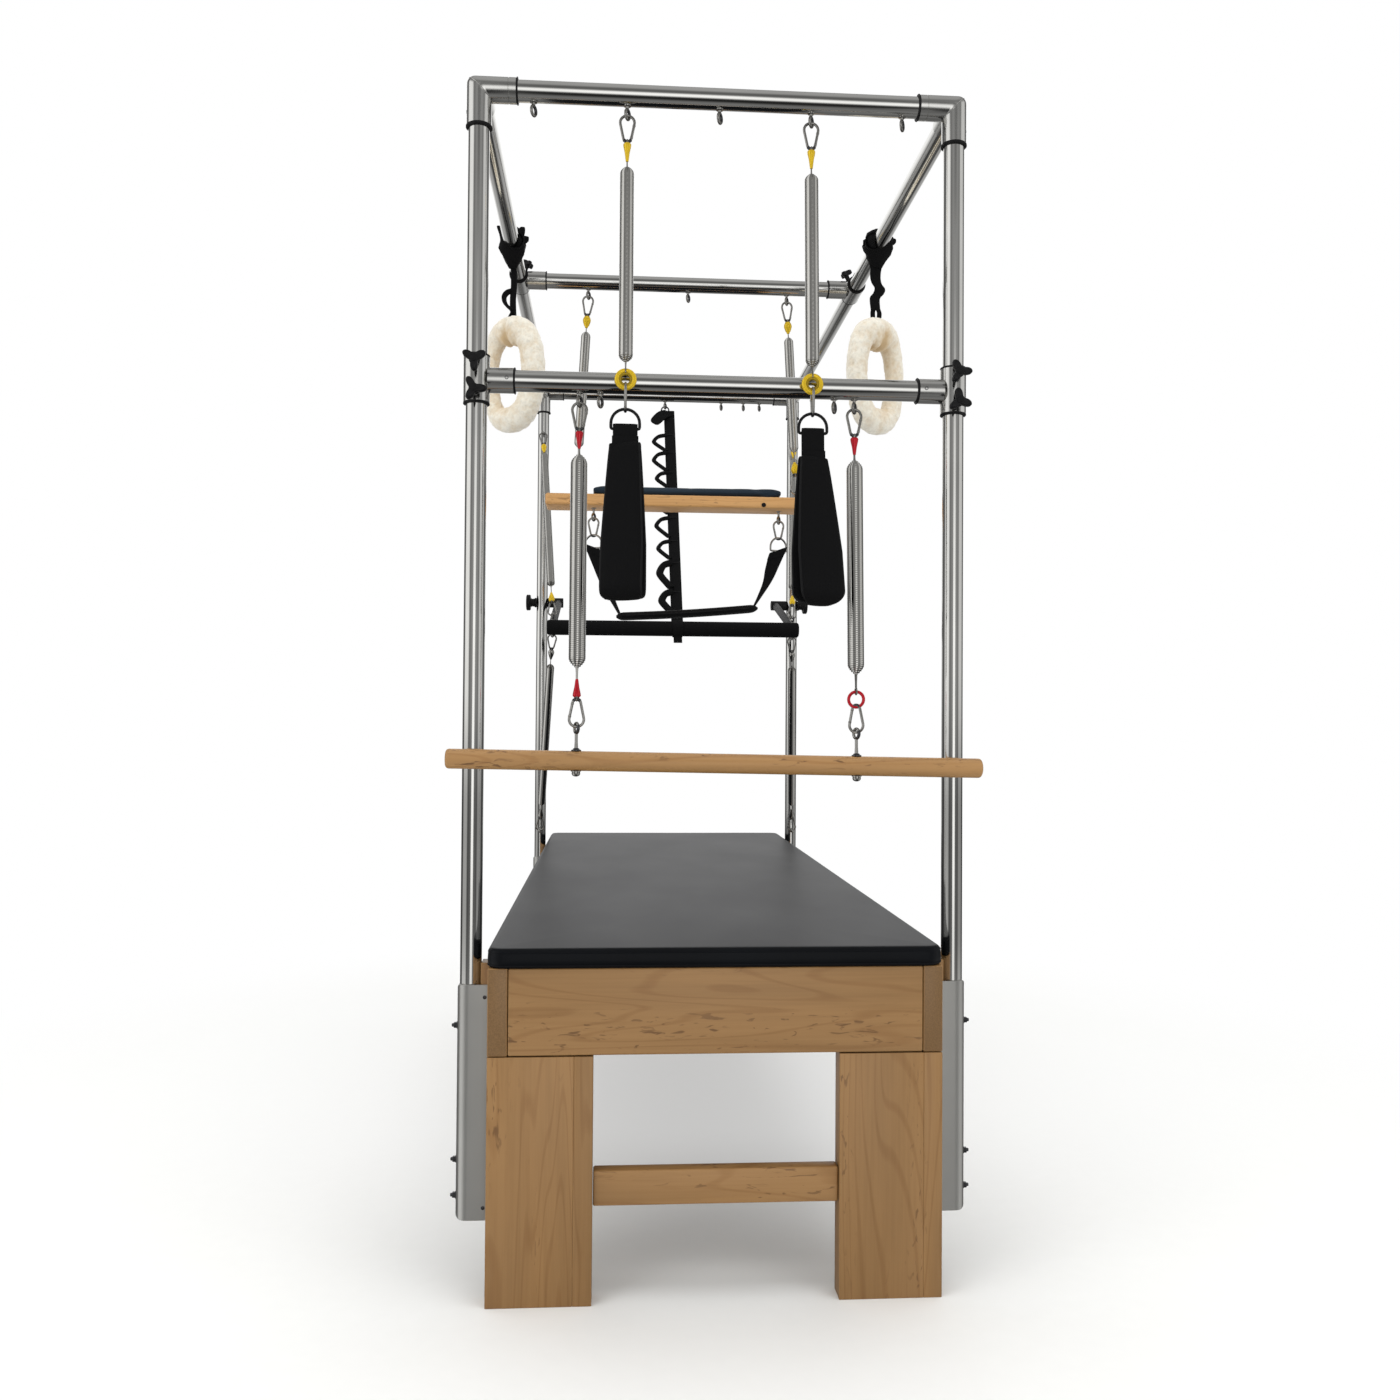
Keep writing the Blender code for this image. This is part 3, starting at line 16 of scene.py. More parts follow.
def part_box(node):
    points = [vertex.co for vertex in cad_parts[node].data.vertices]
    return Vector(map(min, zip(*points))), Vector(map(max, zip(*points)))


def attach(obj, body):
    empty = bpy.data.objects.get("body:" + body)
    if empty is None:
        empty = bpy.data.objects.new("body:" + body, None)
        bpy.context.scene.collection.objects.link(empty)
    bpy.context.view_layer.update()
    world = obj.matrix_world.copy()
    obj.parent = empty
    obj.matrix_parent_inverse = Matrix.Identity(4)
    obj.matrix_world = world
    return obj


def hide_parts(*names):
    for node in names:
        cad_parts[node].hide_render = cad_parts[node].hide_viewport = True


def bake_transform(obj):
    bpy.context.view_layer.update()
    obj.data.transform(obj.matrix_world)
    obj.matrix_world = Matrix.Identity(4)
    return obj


bl_info = {
    "name": "Pilates trapeze table",
    "version": (1, 0, 0),
    "blender": (4, 5, 0),
    "location": "3D View > Sidebar > Trapeze table",
    "description": "Dresses a trapeze table in steel, maple, vinyl, webbing and fleece",
    "category": "Object",
}

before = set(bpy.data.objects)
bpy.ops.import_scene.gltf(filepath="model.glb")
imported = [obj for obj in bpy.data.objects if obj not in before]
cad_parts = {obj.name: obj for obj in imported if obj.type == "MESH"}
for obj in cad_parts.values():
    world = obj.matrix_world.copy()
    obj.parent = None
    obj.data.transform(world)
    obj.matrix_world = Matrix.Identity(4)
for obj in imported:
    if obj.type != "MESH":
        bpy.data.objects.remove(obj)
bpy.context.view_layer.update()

X_AXIS = Vector((1, 0, 0))
Y_AXIS = Vector((0, 1, 0))
Z_AXIS = Vector((0, 0, 1))


def middle(node):
    """The middle of a frame node's box."""
    low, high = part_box(node)
    return (low + high) / 2


def extent(node):
    """The size of a frame node's box."""
    low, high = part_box(node)
    return high - low


# Places read from the frame
POST_X = middle("post_front_right").x
FRONT_Y = middle("post_front_right").y
REAR_Y = middle("crossbar_rear").y
RAIL_Z = middle("top_rail_right").z
TUBE_RADIUS = extent("top_rail_right").x / 2
TOP_SLIDER_Y = middle("top_slider").y
COLLAR_Z = middle("slide_collar_right").z
COLLAR_LENGTH = extent("slide_collar_right").z
TABLE_SIDE_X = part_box("leg_front_right")[1].x

SIDES = ((-1, "left"), (1, "right"))
ENDS = (("front", FRONT_Y), ("rear", REAR_Y))

# Tubes and fittings
ROUND_SIDES = 48
CLEARANCE = 0.0003
TUBE_WALL = 0.0025
SLEEVE_BORE = TUBE_RADIUS + CLEARANCE / 2
RIM_EASE = 0.0009
SOCKET_RADIUS = 0.0225
SOCKET_REACH = 0.067
COLLAR_RADIUS = 0.0235
BOLT_HEIGHTS = (0.166, 0.229, 0.465)
SEAL_PROUD = 0.0012
SEAL_LENGTH = 0.0022
# Angle of each star knob's first lobe
STAR_TURNS = {"star_knob_upper_left": pi / 2, "star_knob_lower_left": pi,
              "star_knob_upper_right": pi, "star_knob_lower_right": 2.8}

# Eyebolts and snap links
EYE_RADIUS = 0.008
EYE_WIRE = 0.0028
EYE_DROP = 0.0155
EYE_TURN = 0.50
HOOK_DEPTH = 0.0022
FRONT_EYES = (-0.337, -0.168, 0.0, 0.168, 0.337)
SLIDER_EYES = (-0.258, 0.0, 0.258)
REAR_EYES = (0.182, 0.260, 0.316)
SLIDE_BAR_EYES = (-0.250, -0.213, 0.213, 0.250)
LINK_WIRE = 0.0025
LINK_LENGTH = 0.049
LINK_WIDE = 0.0130
LINK_NARROW = 0.0072
LINK_SINK = 0.0018
PEAR_CROWN = 15

# Springs: gaps are from the eyes at a spring's ends to its coils
ARM_X = 0.168
ARM_TILT = radians(3.65)
ARM_RING_DROP = 0.492
ARM_GAPS = (0.1005, 0.033)
ARM_RING = 0.0155
ARM_RING_WIRE = 0.0044
ROLL_X = 0.250
ROLL_DROP = 0.650
ROLL_RADIUS = 0.0175
ROLL_HALF = 0.4775
ROLL_EYE_LIFT = 0.013
ROLL_SHANK = 0.0275
ROLL_SLOPE = radians(0.8)
ROLL_GAPS = (0.098, 0.108)
SWING_GAPS = (0.096, 0.112)
PLANK_EYE_X = 0.286
PLANK_THICKNESS = 0.029
PLANK_WIDTH = 0.100
SLING_EYE_DROP = 0.0235
UPPER_GAPS = (0.096, 0.116)
LOWER_GAPS = (0.108, 0.106)
UPPER_EYE_Z = 1.995
LOWER_EYE_Z = 0.630
COIL_FLATNESS = 11.0
COIL_TIP = 0.0034
COIL_TAPER = 5
LOW_HOOP = 0.0138
LOW_HOOP_WIRE = 0.0029
CONE_EYE = 0.0050
CONE_EYE_WIRE = 0.0019
# Hand loops: length and width of the tab, then length, turn, rounding and sideways lean
# of the loop, and how wide its band is at the top and how much wider lower down
HAND_SHAPES = {"left": (0.041, 0.044, 0.276, -0.20, 0.008, -0.010, 0.053, 0.020),
               "right": (0.060, 0.040, 0.262, 0.22, 0.022, 0.040, 0.050, 0.031)}

# Push-through bar
PIVOT = Vector((0, REAR_Y, 1.413))
PUSH_BAR = Vector((0, 0.590, 1.295))
PUSH_BAR_RADIUS = 0.0127
PUSH_BAR_HALF = 0.386
PUSH_ARM_RADIUS = 0.0125
PIVOT_BOSS_RADIUS = 0.0165
PUSH_ARM_X = 0.378
PUSH_EYE_BACK = 0.040
GRIP_RADIUS = 0.0235
GRIP_HALF = 0.393

# Loops
SLING_X = 0.240
FLEECE_PLACES = {"left": -0.290, "right": -0.355}
FLEECE_TURN = radians(35)
SAFETY_X = 0.0
SAFETY_WIDTH = 0.037
# Small loops down the safety strap: start and end as shares of its length, and reach
DAISY_LOOPS = ((0.12, 0.20, 0.040), (0.21, 0.30, 0.042), (0.31, 0.38, 0.034), (0.44, 0.51, 0.036),
               (0.53, 0.62, 0.040), (0.64, 0.72, 0.036), (0.74, 0.85, 0.034), (0.87, 0.96, 0.030))

# Brightness of the studio in metal: the side panels by degrees round the object from straight
# in front, the others by height, as the sine of the angle over level
SIDE_PANELS = ((-146, 0.13), (-112, 0.13), (-98, 1.15), (-58, 1.15), (-44, 0.20), (-22, 0.34),
               (38, 0.34), (50, 0.20), (62, 0.80), (100, 0.80), (114, 0.15), (146, 0.13))
FRONT_PANEL = ((-1, 0.20), (-0.94, 0.24), (-0.85, 0.17), (-0.72, 0.045), (-0.59, 0.012),
               (-0.42, 0.05), (-0.33, 0.3), (-0.225, 0.95), (-0.105, 1.4), (0.087, 1.4),
               (0.208, 1.0), (0.309, 0.45), (0.438, 0.17), (0.67, 0.15), (0.80, 0.27),
               (0.92, 0.46), (0.99, 0.47))
REAR_PANEL = ((-1, 0.20), (-0.45, 0.17), (-0.37, 0.06), (-0.33, 0.06), (-0.28, 0.3),
              (-0.17, 0.5), (0, 0.48), (0.08, 0.76), (0.34, 1.22), (0.5, 1.1), (0.99, 0.5))
# What matt surfaces see in place of the panels
SOFT_LIGHT = (0.80, 0.80, 0.79)

# Finishes
GROWTH_RINGS = 17
WEB_PITCH = 0.0016
SCREW_STEEL = (0.11, 0.11, 0.115)
WHITE = (1, 1, 1)
BLACK = (0, 0, 0)
# A colour mix's sockets go by number, because their names repeat
MIX_SHARE, MIX_FIRST, MIX_SECOND, MIX_RESULT = 0, 6, 7, 2


def paint(name, description, default):
    """A colour for the panel."""
    return FloatVectorProperty(name=name, description=description, subtype="COLOR", size=3,
                               min=0, max=1, default=default)


def measure(name, description, low, high, default):
    """A length for the panel."""
    return FloatProperty(name=name, description=description, unit="LENGTH", min=low, max=high,
                         default=default)


class TrapezeTableColours(bpy.types.PropertyGroup):
    """Colours of the table's finishes."""

    maple: paint("Maple", "Lacquered maple, between its streaks", (0.305, 0.167, 0.062))
    maple_streak: paint("Maple streak", "The darker streaks in the maple", (0.115, 0.052, 0.019))
    tube_steel: paint("Tube steel", "Polished canopy tubes", (0.66, 0.655, 0.63))
    aluminium: paint("Aluminium", "Satin post brackets", (0.60, 0.595, 0.565))
    hook_steel: paint("Hook steel", "Eyebolts and snap links", (0.42, 0.41, 0.385))
    spring_steel: paint("Spring steel", "Wire of the springs", (0.56, 0.55, 0.52))
    black: paint("Black", "Knobs, seals, foam and webbing", (0.006, 0.006, 0.0065))
    mat_vinyl: paint("Mat vinyl", "Cover of the table's mat", (0.0035, 0.0042, 0.0056))
    pad_vinyl: paint("Pad vinyl", "Cover of the trapeze's pad", (0.016, 0.027, 0.040))
    fleece: paint("Fleece", "Tips of the fleece's pile", (0.86, 0.82, 0.73))
    # Painted shade: the colour the fleece darkens to deep in its pile, in its creases and on its
    # inner side
    fleece_shade: paint("Fleece shade", "Depth of the fleece's pile", (0.60, 0.44, 0.245))
    yellow: paint("Yellow coat", "Coated rings of the light springs", (0.78, 0.52, 0.02))
    red: paint("Red coat", "Coated rings of the heavy springs", (0.50, 0.010, 0.022))
    floor: paint("Floor", "Studio floor", (0.925, 0.93, 0.92))


class TrapezeTableSizes(bpy.types.PropertyGroup):
    """Sizes of the details that the frame leaves open."""

    board_edge: measure("Board edge", "Rounding along the boards' edges", 0.001, 0.008, 0.0032)
    mat_crown: measure("Mat crown", "Rise of the mat's middle over its edges", 0, 0.008, 0.003)
    light_wire: measure("Light wire", "Wire radius of the arm and trapeze springs",
                        0.0006, 0.003, 0.00115)
    heavy_wire: measure("Heavy wire", "Wire radius of the roll-down springs",
                        0.0006, 0.003, 0.00165)
    turn_points: IntProperty(name="Points per turn", description="Points on each turn of a spring",
                             min=8, max=32, default=14)
    star_radius: measure("Star knob", "Radius of a clamp knob over its lobes",
                         0.012, 0.03, 0.0228)
    pile: measure("Pile", "Depth of the fleece's tufts", 0, 0.01, 0.0042)


def colours():
    """The scene's colours, as they are set in the panel."""
    return bpy.context.scene.trapeze_table_colours


def sizes():
    """The scene's sizes, as they are set in the panel."""
    return bpy.context.scene.trapeze_table_sizes


# Shader helpers. A source is an output socket.

def shader_tree(name):
    """A new material, its node tree and its Principled shader."""
    material = bpy.data.materials.new(name)
    material.use_nodes = True
    tree = material.node_tree
    return material, tree, tree.nodes["Principled BSDF"]


def feed(node, slot, value):
    """Link a source to a node's input, or set the input to a number, vector or colour."""
    socket = node.inputs[slot]
    if isinstance(value, bpy.types.NodeSocket):
        node.id_data.links.new(value, socket)
    elif socket.type == "RGBA":
        socket.default_value = (*value, 1)
    else:
        socket.default_value = value


def tune(node, values):
    """Feed a node's inputs by name, or set values on the node where it has no such input."""
    for key, value in values.items():
        if key in node.inputs:
            feed(node, key, value)
        else:
            setattr(node, key, value)


def add(tree, kind, **values):
    """A new shader node with its values."""
    node = tree.nodes.new("ShaderNode" + kind)
    tune(node, values)
    return node


def maths(operation, first, second=None):
    """One step of arithmetic on a source, with a number or another source."""
    node = add(first.id_data, "Math", operation=operation)
    feed(node, 0, first)
    if second is not None:
        feed(node, 1, second)
    return node.outputs["Value"]


def stretched(tree, scale, offset=(0, 0, 0)):
    """Object coordinates, stretched by one number or three, and moved."""
    scale = (scale,) * 3 if isinstance(scale, (int, float)) else scale
    place = add(tree, "TexCoord").outputs["Object"]
    mapping = add(tree, "Mapping", Scale=scale, Location=offset, Vector=place)
    return mapping.outputs["Vector"]


def speckle(tree, scale, detail=2.0, roughness=0.5, distortion=0.0, offset=(0, 0, 0)):
    """Noise on stretched object coordinates."""
    texture = add(tree, "TexNoise", Scale=1.0, Detail=detail, Roughness=roughness,
                  Distortion=distortion, Vector=stretched(tree, scale, offset))
    return texture.outputs["Fac"]


def ramp(source, stops):
    """A colour ramp with (position, colour) stops."""
    node = add(source.id_data, "ValToRGB", Fac=source)
    points = node.color_ramp.elements
    while len(points) < len(stops):
        points.new(0.5)
    for point, (position, colour) in zip(points, stops):
        point.position = position
        point.color = (*colour, 1)
    return node.outputs["Color"]


def mixed(share, first, second, blend="MIX"):
    """The colour mix of a source with another or with a colour."""
    node = add(first.id_data, "Mix", data_type="RGBA", blend_type=blend)
    feed(node, MIX_SHARE, share)
    feed(node, MIX_FIRST, first)
    feed(node, MIX_SECOND, second)
    return node.outputs[MIX_RESULT]


def span(source, start, end, curve="LINEAR"):
    """A source's values between start's pair brought between end's pair."""
    ranges = {"From Min": start[0], "From Max": start[1], "To Min": end[0], "To Max": end[1]}
    node = add(source.id_data, "MapRange", interpolation_type=curve, Value=source,
               **ranges)
    return node.outputs["Result"]


def bumped(shader, height, strength, distance):
    """Bump on the shader's normal from one height."""
    node = add(shader.id_data, "Bump", Strength=strength, Distance=distance,
               Height=height)
    feed(shader, "Normal", node.outputs["Normal"])


def glossed(shader, source, low, high):
    """Roughness that follows a source between two values."""
    feed(shader, "Roughness", span(source, (0, 1), (low, high)))


def shaded(colour, factor):
    """A colour, brighter or darker."""
    return tuple(channel * factor for channel in colour)


# Finishes

def across_grain(along, across, lengthwise):
    """Texture scales that stretch a pattern along the grain."""
    return [lengthwise if axis == along else across for axis in range(3)]


def maple(name, along, seed, lift=1.0):
    """Lacquered maple with its grain along one axis. Faces across the grain are end grain."""
    material, tree, shader = shader_tree(name)
    base = shaded(colours().maple, lift * (1.0 + 0.035 * sin(seed * 2.3)))
    offset = (seed * 3.1, seed * 1.7, seed * 2.3)

    def grain(across, lengthwise, *noise_values):
        """Noise drawn out along the grain, from the board's own part of the pattern."""
        scale = across_grain(along, across, lengthwise)
        return speckle(tree, scale, *noise_values, offset=offset)

    slow = grain(11, 1.3, 3.0)
    tone = ramp(slow, [(0.32, shaded(base, 0.87)), (0.50, base), (0.68, shaded(base, 1.12))])
    years = maths("MULTIPLY", grain(6.5, 0.8, 2.0, 0.42, 0.5), tau * GROWTH_RINGS)
    rings = ramp(maths("SINE", years), [(0.62, WHITE), (0.99, (0.84, 0.785, 0.72))])
    fine = grain(150, 4, 4.0, 0.6)
    fibres = ramp(fine, [(0.30, (0.86, 0.83, 0.79)), (0.60, (1.03, 1.03, 1.03))])
    ringed = mixed(0.7, tone, rings, "MULTIPLY")
    woody = mixed(0.6, ringed, fibres, "MULTIPLY")
    marks = ramp(grain(105, 24, 2.0, 0.5, 1.2), [(0.61, BLACK), (0.68, (0.9, 0.9, 0.9))])
    patch = ramp(slow, [(0.46, BLACK), (0.60, (0.85, 0.85, 0.85))])
    flecks = mixed(1.0, marks, patch, "MULTIPLY")
    flecked = mixed(flecks, woody, colours().maple_streak)
    normal = add(tree, "NewGeometry").outputs["Normal"]
    split = add(tree, "SeparateXYZ", Vector=normal)
    facing_grain = maths("ABSOLUTE", split.outputs[along])
    end_share = maths("GREATER_THAN", facing_grain, 0.9)
    pores = speckle(tree, 380, 3.0, 0.7, offset=offset)
    end_grain = ramp(pores, [(0.35, shaded(base, 0.50)), (0.65, shaded(base, 0.70))])
    feed(shader, "Base Color", mixed(end_share, flecked, end_grain))
    glossed(shader, fine, 0.36, 0.48)
    tune(shader, {"Specular IOR Level": 0.4, "Coat Weight": 0.2, "Coat Roughness": 0.25})
    bumped(shader, fine, 0.08, 0.0003)
    return material


def metal(name, colour, roughness, along, brush, bump=0.04):
    """Metal with fine brush lines along one axis."""
    material, tree, shader = shader_tree(name)
    lines = speckle(tree, across_grain(along, 420, 6), 3.0, 0.6)
    tone = ramp(speckle(tree, 9), [(0.3, shaded(colour, 0.93)), (0.7, colour)])
    tune(shader, {"Base Color": tone, "Metallic": 1.0})
    glossed(shader, lines, roughness - brush, roughness + brush)
    bumped(shader, lines, bump, 0.00006)
    return material


def moulded(name, colour, roughness, grain=600.0, strength=0.12, gloss_level=0.25):
    """Moulded plastic or foam with a fine even texture."""
    material, tree, shader = shader_tree(name)
    skin = speckle(tree, grain, 3.0, 0.6)
    tone = ramp(skin, [(0.3, shaded(colour, 0.75)), (0.7, shaded(colour, 1.25))])
    tune(shader, {"Base Color": tone, "Specular IOR Level": gloss_level})
    glossed(shader, skin, roughness - 0.06, roughness + 0.06)
    bumped(shader, skin, strength, 0.0003)
    return material


def dipped(name, colour):
    """A glossy coat on steel, thinner and darker in places."""
    material, tree, shader = shader_tree(name)
    film = speckle(tree, 60, 1.0, 0.4)
    tone = ramp(film, [(0.3, shaded(colour, 0.88)), (0.65, colour)])
    tune(shader, {"Base Color": tone, "Metallic": 0.35})
    glossed(shader, film, 0.12, 0.22)
    bumped(shader, film, 0.05, 0.0002)
    return material


def vinyl(name, colour, roughness):
    """Upholstery vinyl: fine leather grain, slow unevenness and a soft gloss."""
    material, tree, shader = shader_tree(name)
    grain = add(tree, "TexVoronoi", Scale=1.0, feature="DISTANCE_TO_EDGE",
                Vector=stretched(tree, 650))
    slow = speckle(tree, (5, 2.4, 5), 3.0, 0.55)
    tone = ramp(slow, [(0.35, shaded(colour, 0.85)), (0.65, shaded(colour, 1.15))])
    tune(shader, {"Base Color": tone, "Specular IOR Level": 0.13})
    glossed(shader, slow, roughness - 0.04, roughness + 0.05)
    bumped(shader, grain.outputs["Distance"], 0.18, 0.00025)
    return material


def webbing(name, colour, along):
    """Woven webbing: ribs across the strap and a matt nap."""
    material, tree, shader = shader_tree(name)
    rib = add(tree, "TexWave", Scale=1 / (WEB_PITCH * 2), Distortion=0.4, Detail=1.0,
              wave_type="BANDS", bands_direction="XYZ"[along], Vector=stretched(tree, 1))
    height = mixed(0.4, rib.outputs["Color"], speckle(tree, 800).node.outputs["Color"])
    tone = ramp(height, [(0.2, shaded(colour, 0.4)), (0.8, shaded(colour, 1.1))])
    tune(shader, {"Base Color": tone, "Roughness": 0.70, "Specular IOR Level": 0.09,
                  "Sheen Weight": 0.015, "Sheen Roughness": 0.5})
    bumped(shader, height, 0.35, 0.0005)
    return material


def fleece(name):
    """Cream fleece, with painted shade deep in its pile, in its creases and on its inner side."""
    material, tree, shader = shader_tree(name)
    tip = colours().fleece
    curl = speckle(tree, 120, 5.0, 0.65, 0.8)
    clump = speckle(tree, 26, 3.0, 0.5, 0.5)
    # Painted shade: a point attribute mixes the shade colour in, deep in the pile, in creases and
    # on the inner side
    depth = add(tree, "Attribute", attribute_name="painted_pile_shade").outputs["Fac"]
    fine = ramp(curl, [(0.25, shaded(tip, 0.80)), (0.55, tip)])
    broad = ramp(clump, [(0.30, shaded(tip, 0.90)), (0.60, (0.92, 0.91, 0.83))])
    pile = mixed(0.6, fine, broad, "MULTIPLY")
    bright = mixed(0.5, pile, fine)
    tune(shader, {"Base Color": mixed(depth, bright, colours().fleece_shade),
                  "Roughness": 0.95, "Specular IOR Level": 0.1, "Sheen Weight": 0.35,
                  "Sheen Roughness": 0.6, "Subsurface Weight": 0.06,
                  "Subsurface Radius": (1.0, 0.95, 0.8), "Subsurface Scale": 0.01})
    bumped(shader, curl, 0.55, 0.002)
    return material


def finish(kind):
    """The named finish, made once: its kind, with an axis, a seed and a lift where it has them."""
    found = bpy.data.materials.get(kind)
    if found:
        return found
    tints = colours()
    maker, *words = kind.split()
    along = "XYZ".index(words[0]) if words else None
    if maker == "Maple":
        return maple(kind, along, int(words[1]), int(words[2]) / 100 if words[2:] else 1.0)
    makers = {
        "Tube": (metal, tints.tube_steel, 0.09, along, 0.015, 0.01),
        "Fitting": (metal, shaded(tints.tube_steel, 0.97), 0.16, 0, 0.03, 0.02),
        "Aluminium": (metal, tints.aluminium, 0.42, 2, 0.06, 0.08),
        "Hook": (metal, tints.hook_steel, 0.12, 0, 0.03),
        "Screw": (metal, SCREW_STEEL, 0.30, 0, 0.05),
        "Coil": (metal, tints.spring_steel, 0.10, 2, 0.02, 0.01),
        "Knob": (moulded, tints.black, 0.38),
        "Seal": (moulded, tints.black, 0.6),
        "Foam": (moulded, shaded(tints.black, 0.8), 0.72, 1100.0, 0.3, 0.08),
        "Lacquer": (moulded, shaded(tints.black, 0.9), 0.52, 500.0, 0.06),
        "Mat": (vinyl, tints.mat_vinyl, 0.40),
        "Pad": (vinyl, tints.pad_vinyl, 0.42),
        "Webbing": (webbing, tints.black, along),
        "Fleece": (fleece,),
        "Yellow": (dipped, tints.yellow),
        # A darker copy of the yellow coat, for painted shade inside the arm springs' rings
        "Amber": (dipped, shaded(tints.yellow, 0.45)),
        "Red": (dipped, tints.red),
    }
    make, *values = makers[maker]
    return make(kind, *values)


# Mesh helpers. A part is an array of points and a list of faces.

def rows(points):
    """Points or vectors as the rows of an array."""
    return np.array([tuple(point) for point in points], float)


def round_angles(count):
    """Angles of evenly spaced points round a circle."""
    return tau * np.arange(count) / count


def unit(vectors):
    """Rows brought to a length of 1."""
    return vectors / np.maximum(np.linalg.norm(vectors, axis=1, keepdims=True), 1e-9)


def headings(path, closed):
    """The direction of a path at each of its points, of any length."""
    if closed:
        return np.roll(path, -1, 0) - np.roll(path, 1, 0)
    return np.vstack((path[1:], path[-1:])) - np.vstack((path[:1], path[:-1]))


def skinned(rings, closed=False):
    """A skin over rings of equally many points, capped unless it closes on itself."""
    rings = np.asarray(rings, float)
    count, sides = rings.shape[:2]
    faces = []
    for i in range(count if closed else count - 1):
        low = i * sides
        high = (i + 1) % count * sides
        for j in range(sides):
            k = (j + 1) % sides
            faces.append((low + j, low + k, high + k, high + j))
    if not closed:
        faces.append(tuple(range(sides - 1, -1, -1)))
        faces.append(tuple(range((count - 1) * sides, count * sides)))
    return rings.reshape(-1, 3), faces


def turned(profile, sides=ROUND_SIDES, closed=False):
    """A part turned about Z from (radius, height) points. A closed profile is hollow."""
    angles = round_angles(sides)
    rings = [np.column_stack((r * np.cos(angles), r * np.sin(angles), np.full(sides, h)))
             for r, h in profile]
    return skinned(rings, closed)


def swept(path, radius, sides=12, closed=False):
    """A round skin of one or many radii along a path."""
    path = rows(path)
    count = len(path)
    along = unit(headings(path, closed))
    side = np.empty_like(path)
    current = np.array(Vector(along[0]).orthogonal().normalized())
    for i, tangent in enumerate(along):
        current = current - tangent * current.dot(tangent)
        current = current / sqrt(current.dot(current))
        side[i] = current
    if closed:
        back = side[-1] - along[0] * side[-1].dot(along[0])
        other = np.cross(along[0], side[0])
        twist = np.arctan2(back.dot(other), back.dot(side[0]))
        undo = (-twist * np.arange(count) / count)[:, None]
        side = side * np.cos(undo) + np.cross(along, side) * np.sin(undo)
    normal = np.cross(along, side)
    angles = round_angles(sides)
    reach = np.broadcast_to(radius, count)[:, None, None]
    spokes = (side[:, None] * np.cos(angles)[None, :, None]
              + normal[:, None] * np.sin(angles)[None, :, None])
    return skinned(path[:, None] + reach * spokes, closed)


def torus(radius, wire, around=40, sides=12):
    """A round ring about Z."""
    profile = [(radius + wire * cos(a), wire * sin(a)) for a in round_angles(sides)]
    return turned(profile, around, True)


def rounded_box(size, centre, edge, segments=3):
    """A box with rounded edges."""
    bm = bmesh.new()
    bmesh.ops.create_cube(bm, size=1)
    bmesh.ops.transform(bm, verts=bm.verts, matrix=Matrix.Diagonal((*size, 1)))
    bmesh.ops.bevel(bm, geom=list(bm.edges), offset=edge, segments=segments, profile=0.5,
                    affect="EDGES")
    bmesh.ops.translate(bm, verts=bm.verts, vec=centre)
    bm.verts.index_update()
    points = np.array([tuple(v.co) for v in bm.verts])
    faces = [tuple(v.index for v in face.verts) for face in bm.faces]
    bm.free()
    return points, faces


def layered(outline, layers):
    """A solid from one (u, v) outline, scaled and lifted by (scale, height) layers."""
    return skinned([[(u * scale, v * scale, height) for u, v in outline]
                    for scale, height in layers])


def extruded(outline, low, high, edge):
    """An outline (x, y) raised from low to high, with its rims eased inward."""
    points = np.array(outline)
    ahead = unit(headings(points, True))
    inward = np.column_stack((-ahead[:, 1], ahead[:, 0])) * edge
    rings = []
    for shift, height in ((1, low), (0, low + edge), (0, high - edge), (1, high)):
        rings.append(np.column_stack((points + inward * shift, np.full(len(points), height))))
    return skinned(rings)


def strap(path, widths, thicknesses, across, closed=False, crown=0.0, columns=9):
    """A band along a path. Crown is how much thicker its middle is than its edges."""
    path = rows(path)
    count = len(path)
    widths = np.broadcast_to(widths, count)
    thicknesses = np.broadcast_to(thicknesses, count)
    across = np.array(across, float)
    if across.ndim == 1:
        across = np.tile(across, (count, 1))
    out = unit(np.cross(headings(path, closed), across))
    share = np.linspace(-1, 1, columns)
    rise = (1 - crown) + crown * np.sqrt(np.clip(1 - share ** 2, 0, 1))
    rise[[0, -1]] *= 0.55
    section = [(u, v / 2) for u, v in zip(share, rise)]
    section += [(u, -v / 2) for u, v in zip(share[::-1], rise[::-1])]
    rings = [[path[i] + across[i] * widths[i] / 2 * u + out[i] * thicknesses[i] * v
              for u, v in section] for i in range(count)]
    return skinned(rings, closed)


def spline(points, count):
    """Points evenly spaced by parameter on a smooth curve through the given points."""
    points = rows(points)
    spans = len(points) - 1
    result = []
    for place in np.arange(count) * spans / (count - 1):
        i = min(int(place), spans - 1)
        t = place - i
        a, b, c, d = (points[min(max(i + k, 0), spans)] for k in (-1, 0, 1, 2))
        result.append(0.5 * (2 * b + (c - a) * t + (2 * a - 5 * b + 4 * c - d) * t * t
                             + (3 * b - a - 3 * c + d) * t ** 3))
    return np.array(result)


def facing(start, direction):
    """A matrix at start whose Z runs along direction and whose X stays level."""
    z = Vector(direction).normalized()
    side = z.cross(Z_AXIS)
    x = X_AXIS.copy() if side.length < 1e-6 else side.normalized()
    matrix = Matrix((x, z.cross(x), z)).transposed().to_4x4()
    matrix.translation = Vector(start)
    return matrix


def hanging(top, bottom):
    """A matrix at top whose -Z runs to bottom and whose X stays close to world X."""
    z = (Vector(top) - Vector(bottom)).normalized()
    y = z.cross(X_AXIS).normalized()
    matrix = Matrix((y.cross(z), y, z)).transposed().to_4x4()
    matrix.translation = Vector(top)
    return matrix


def rounded_ends(radius, length, edge, steps=4):
    """The profile of a rod along Z from 0 to length, with rounded rims."""
    low = [(radius - edge + edge * sin(a), edge - edge * cos(a))
           for a in np.linspace(0, pi / 2, steps)]
    return low + [(r, length - h) for r, h in reversed(low)]


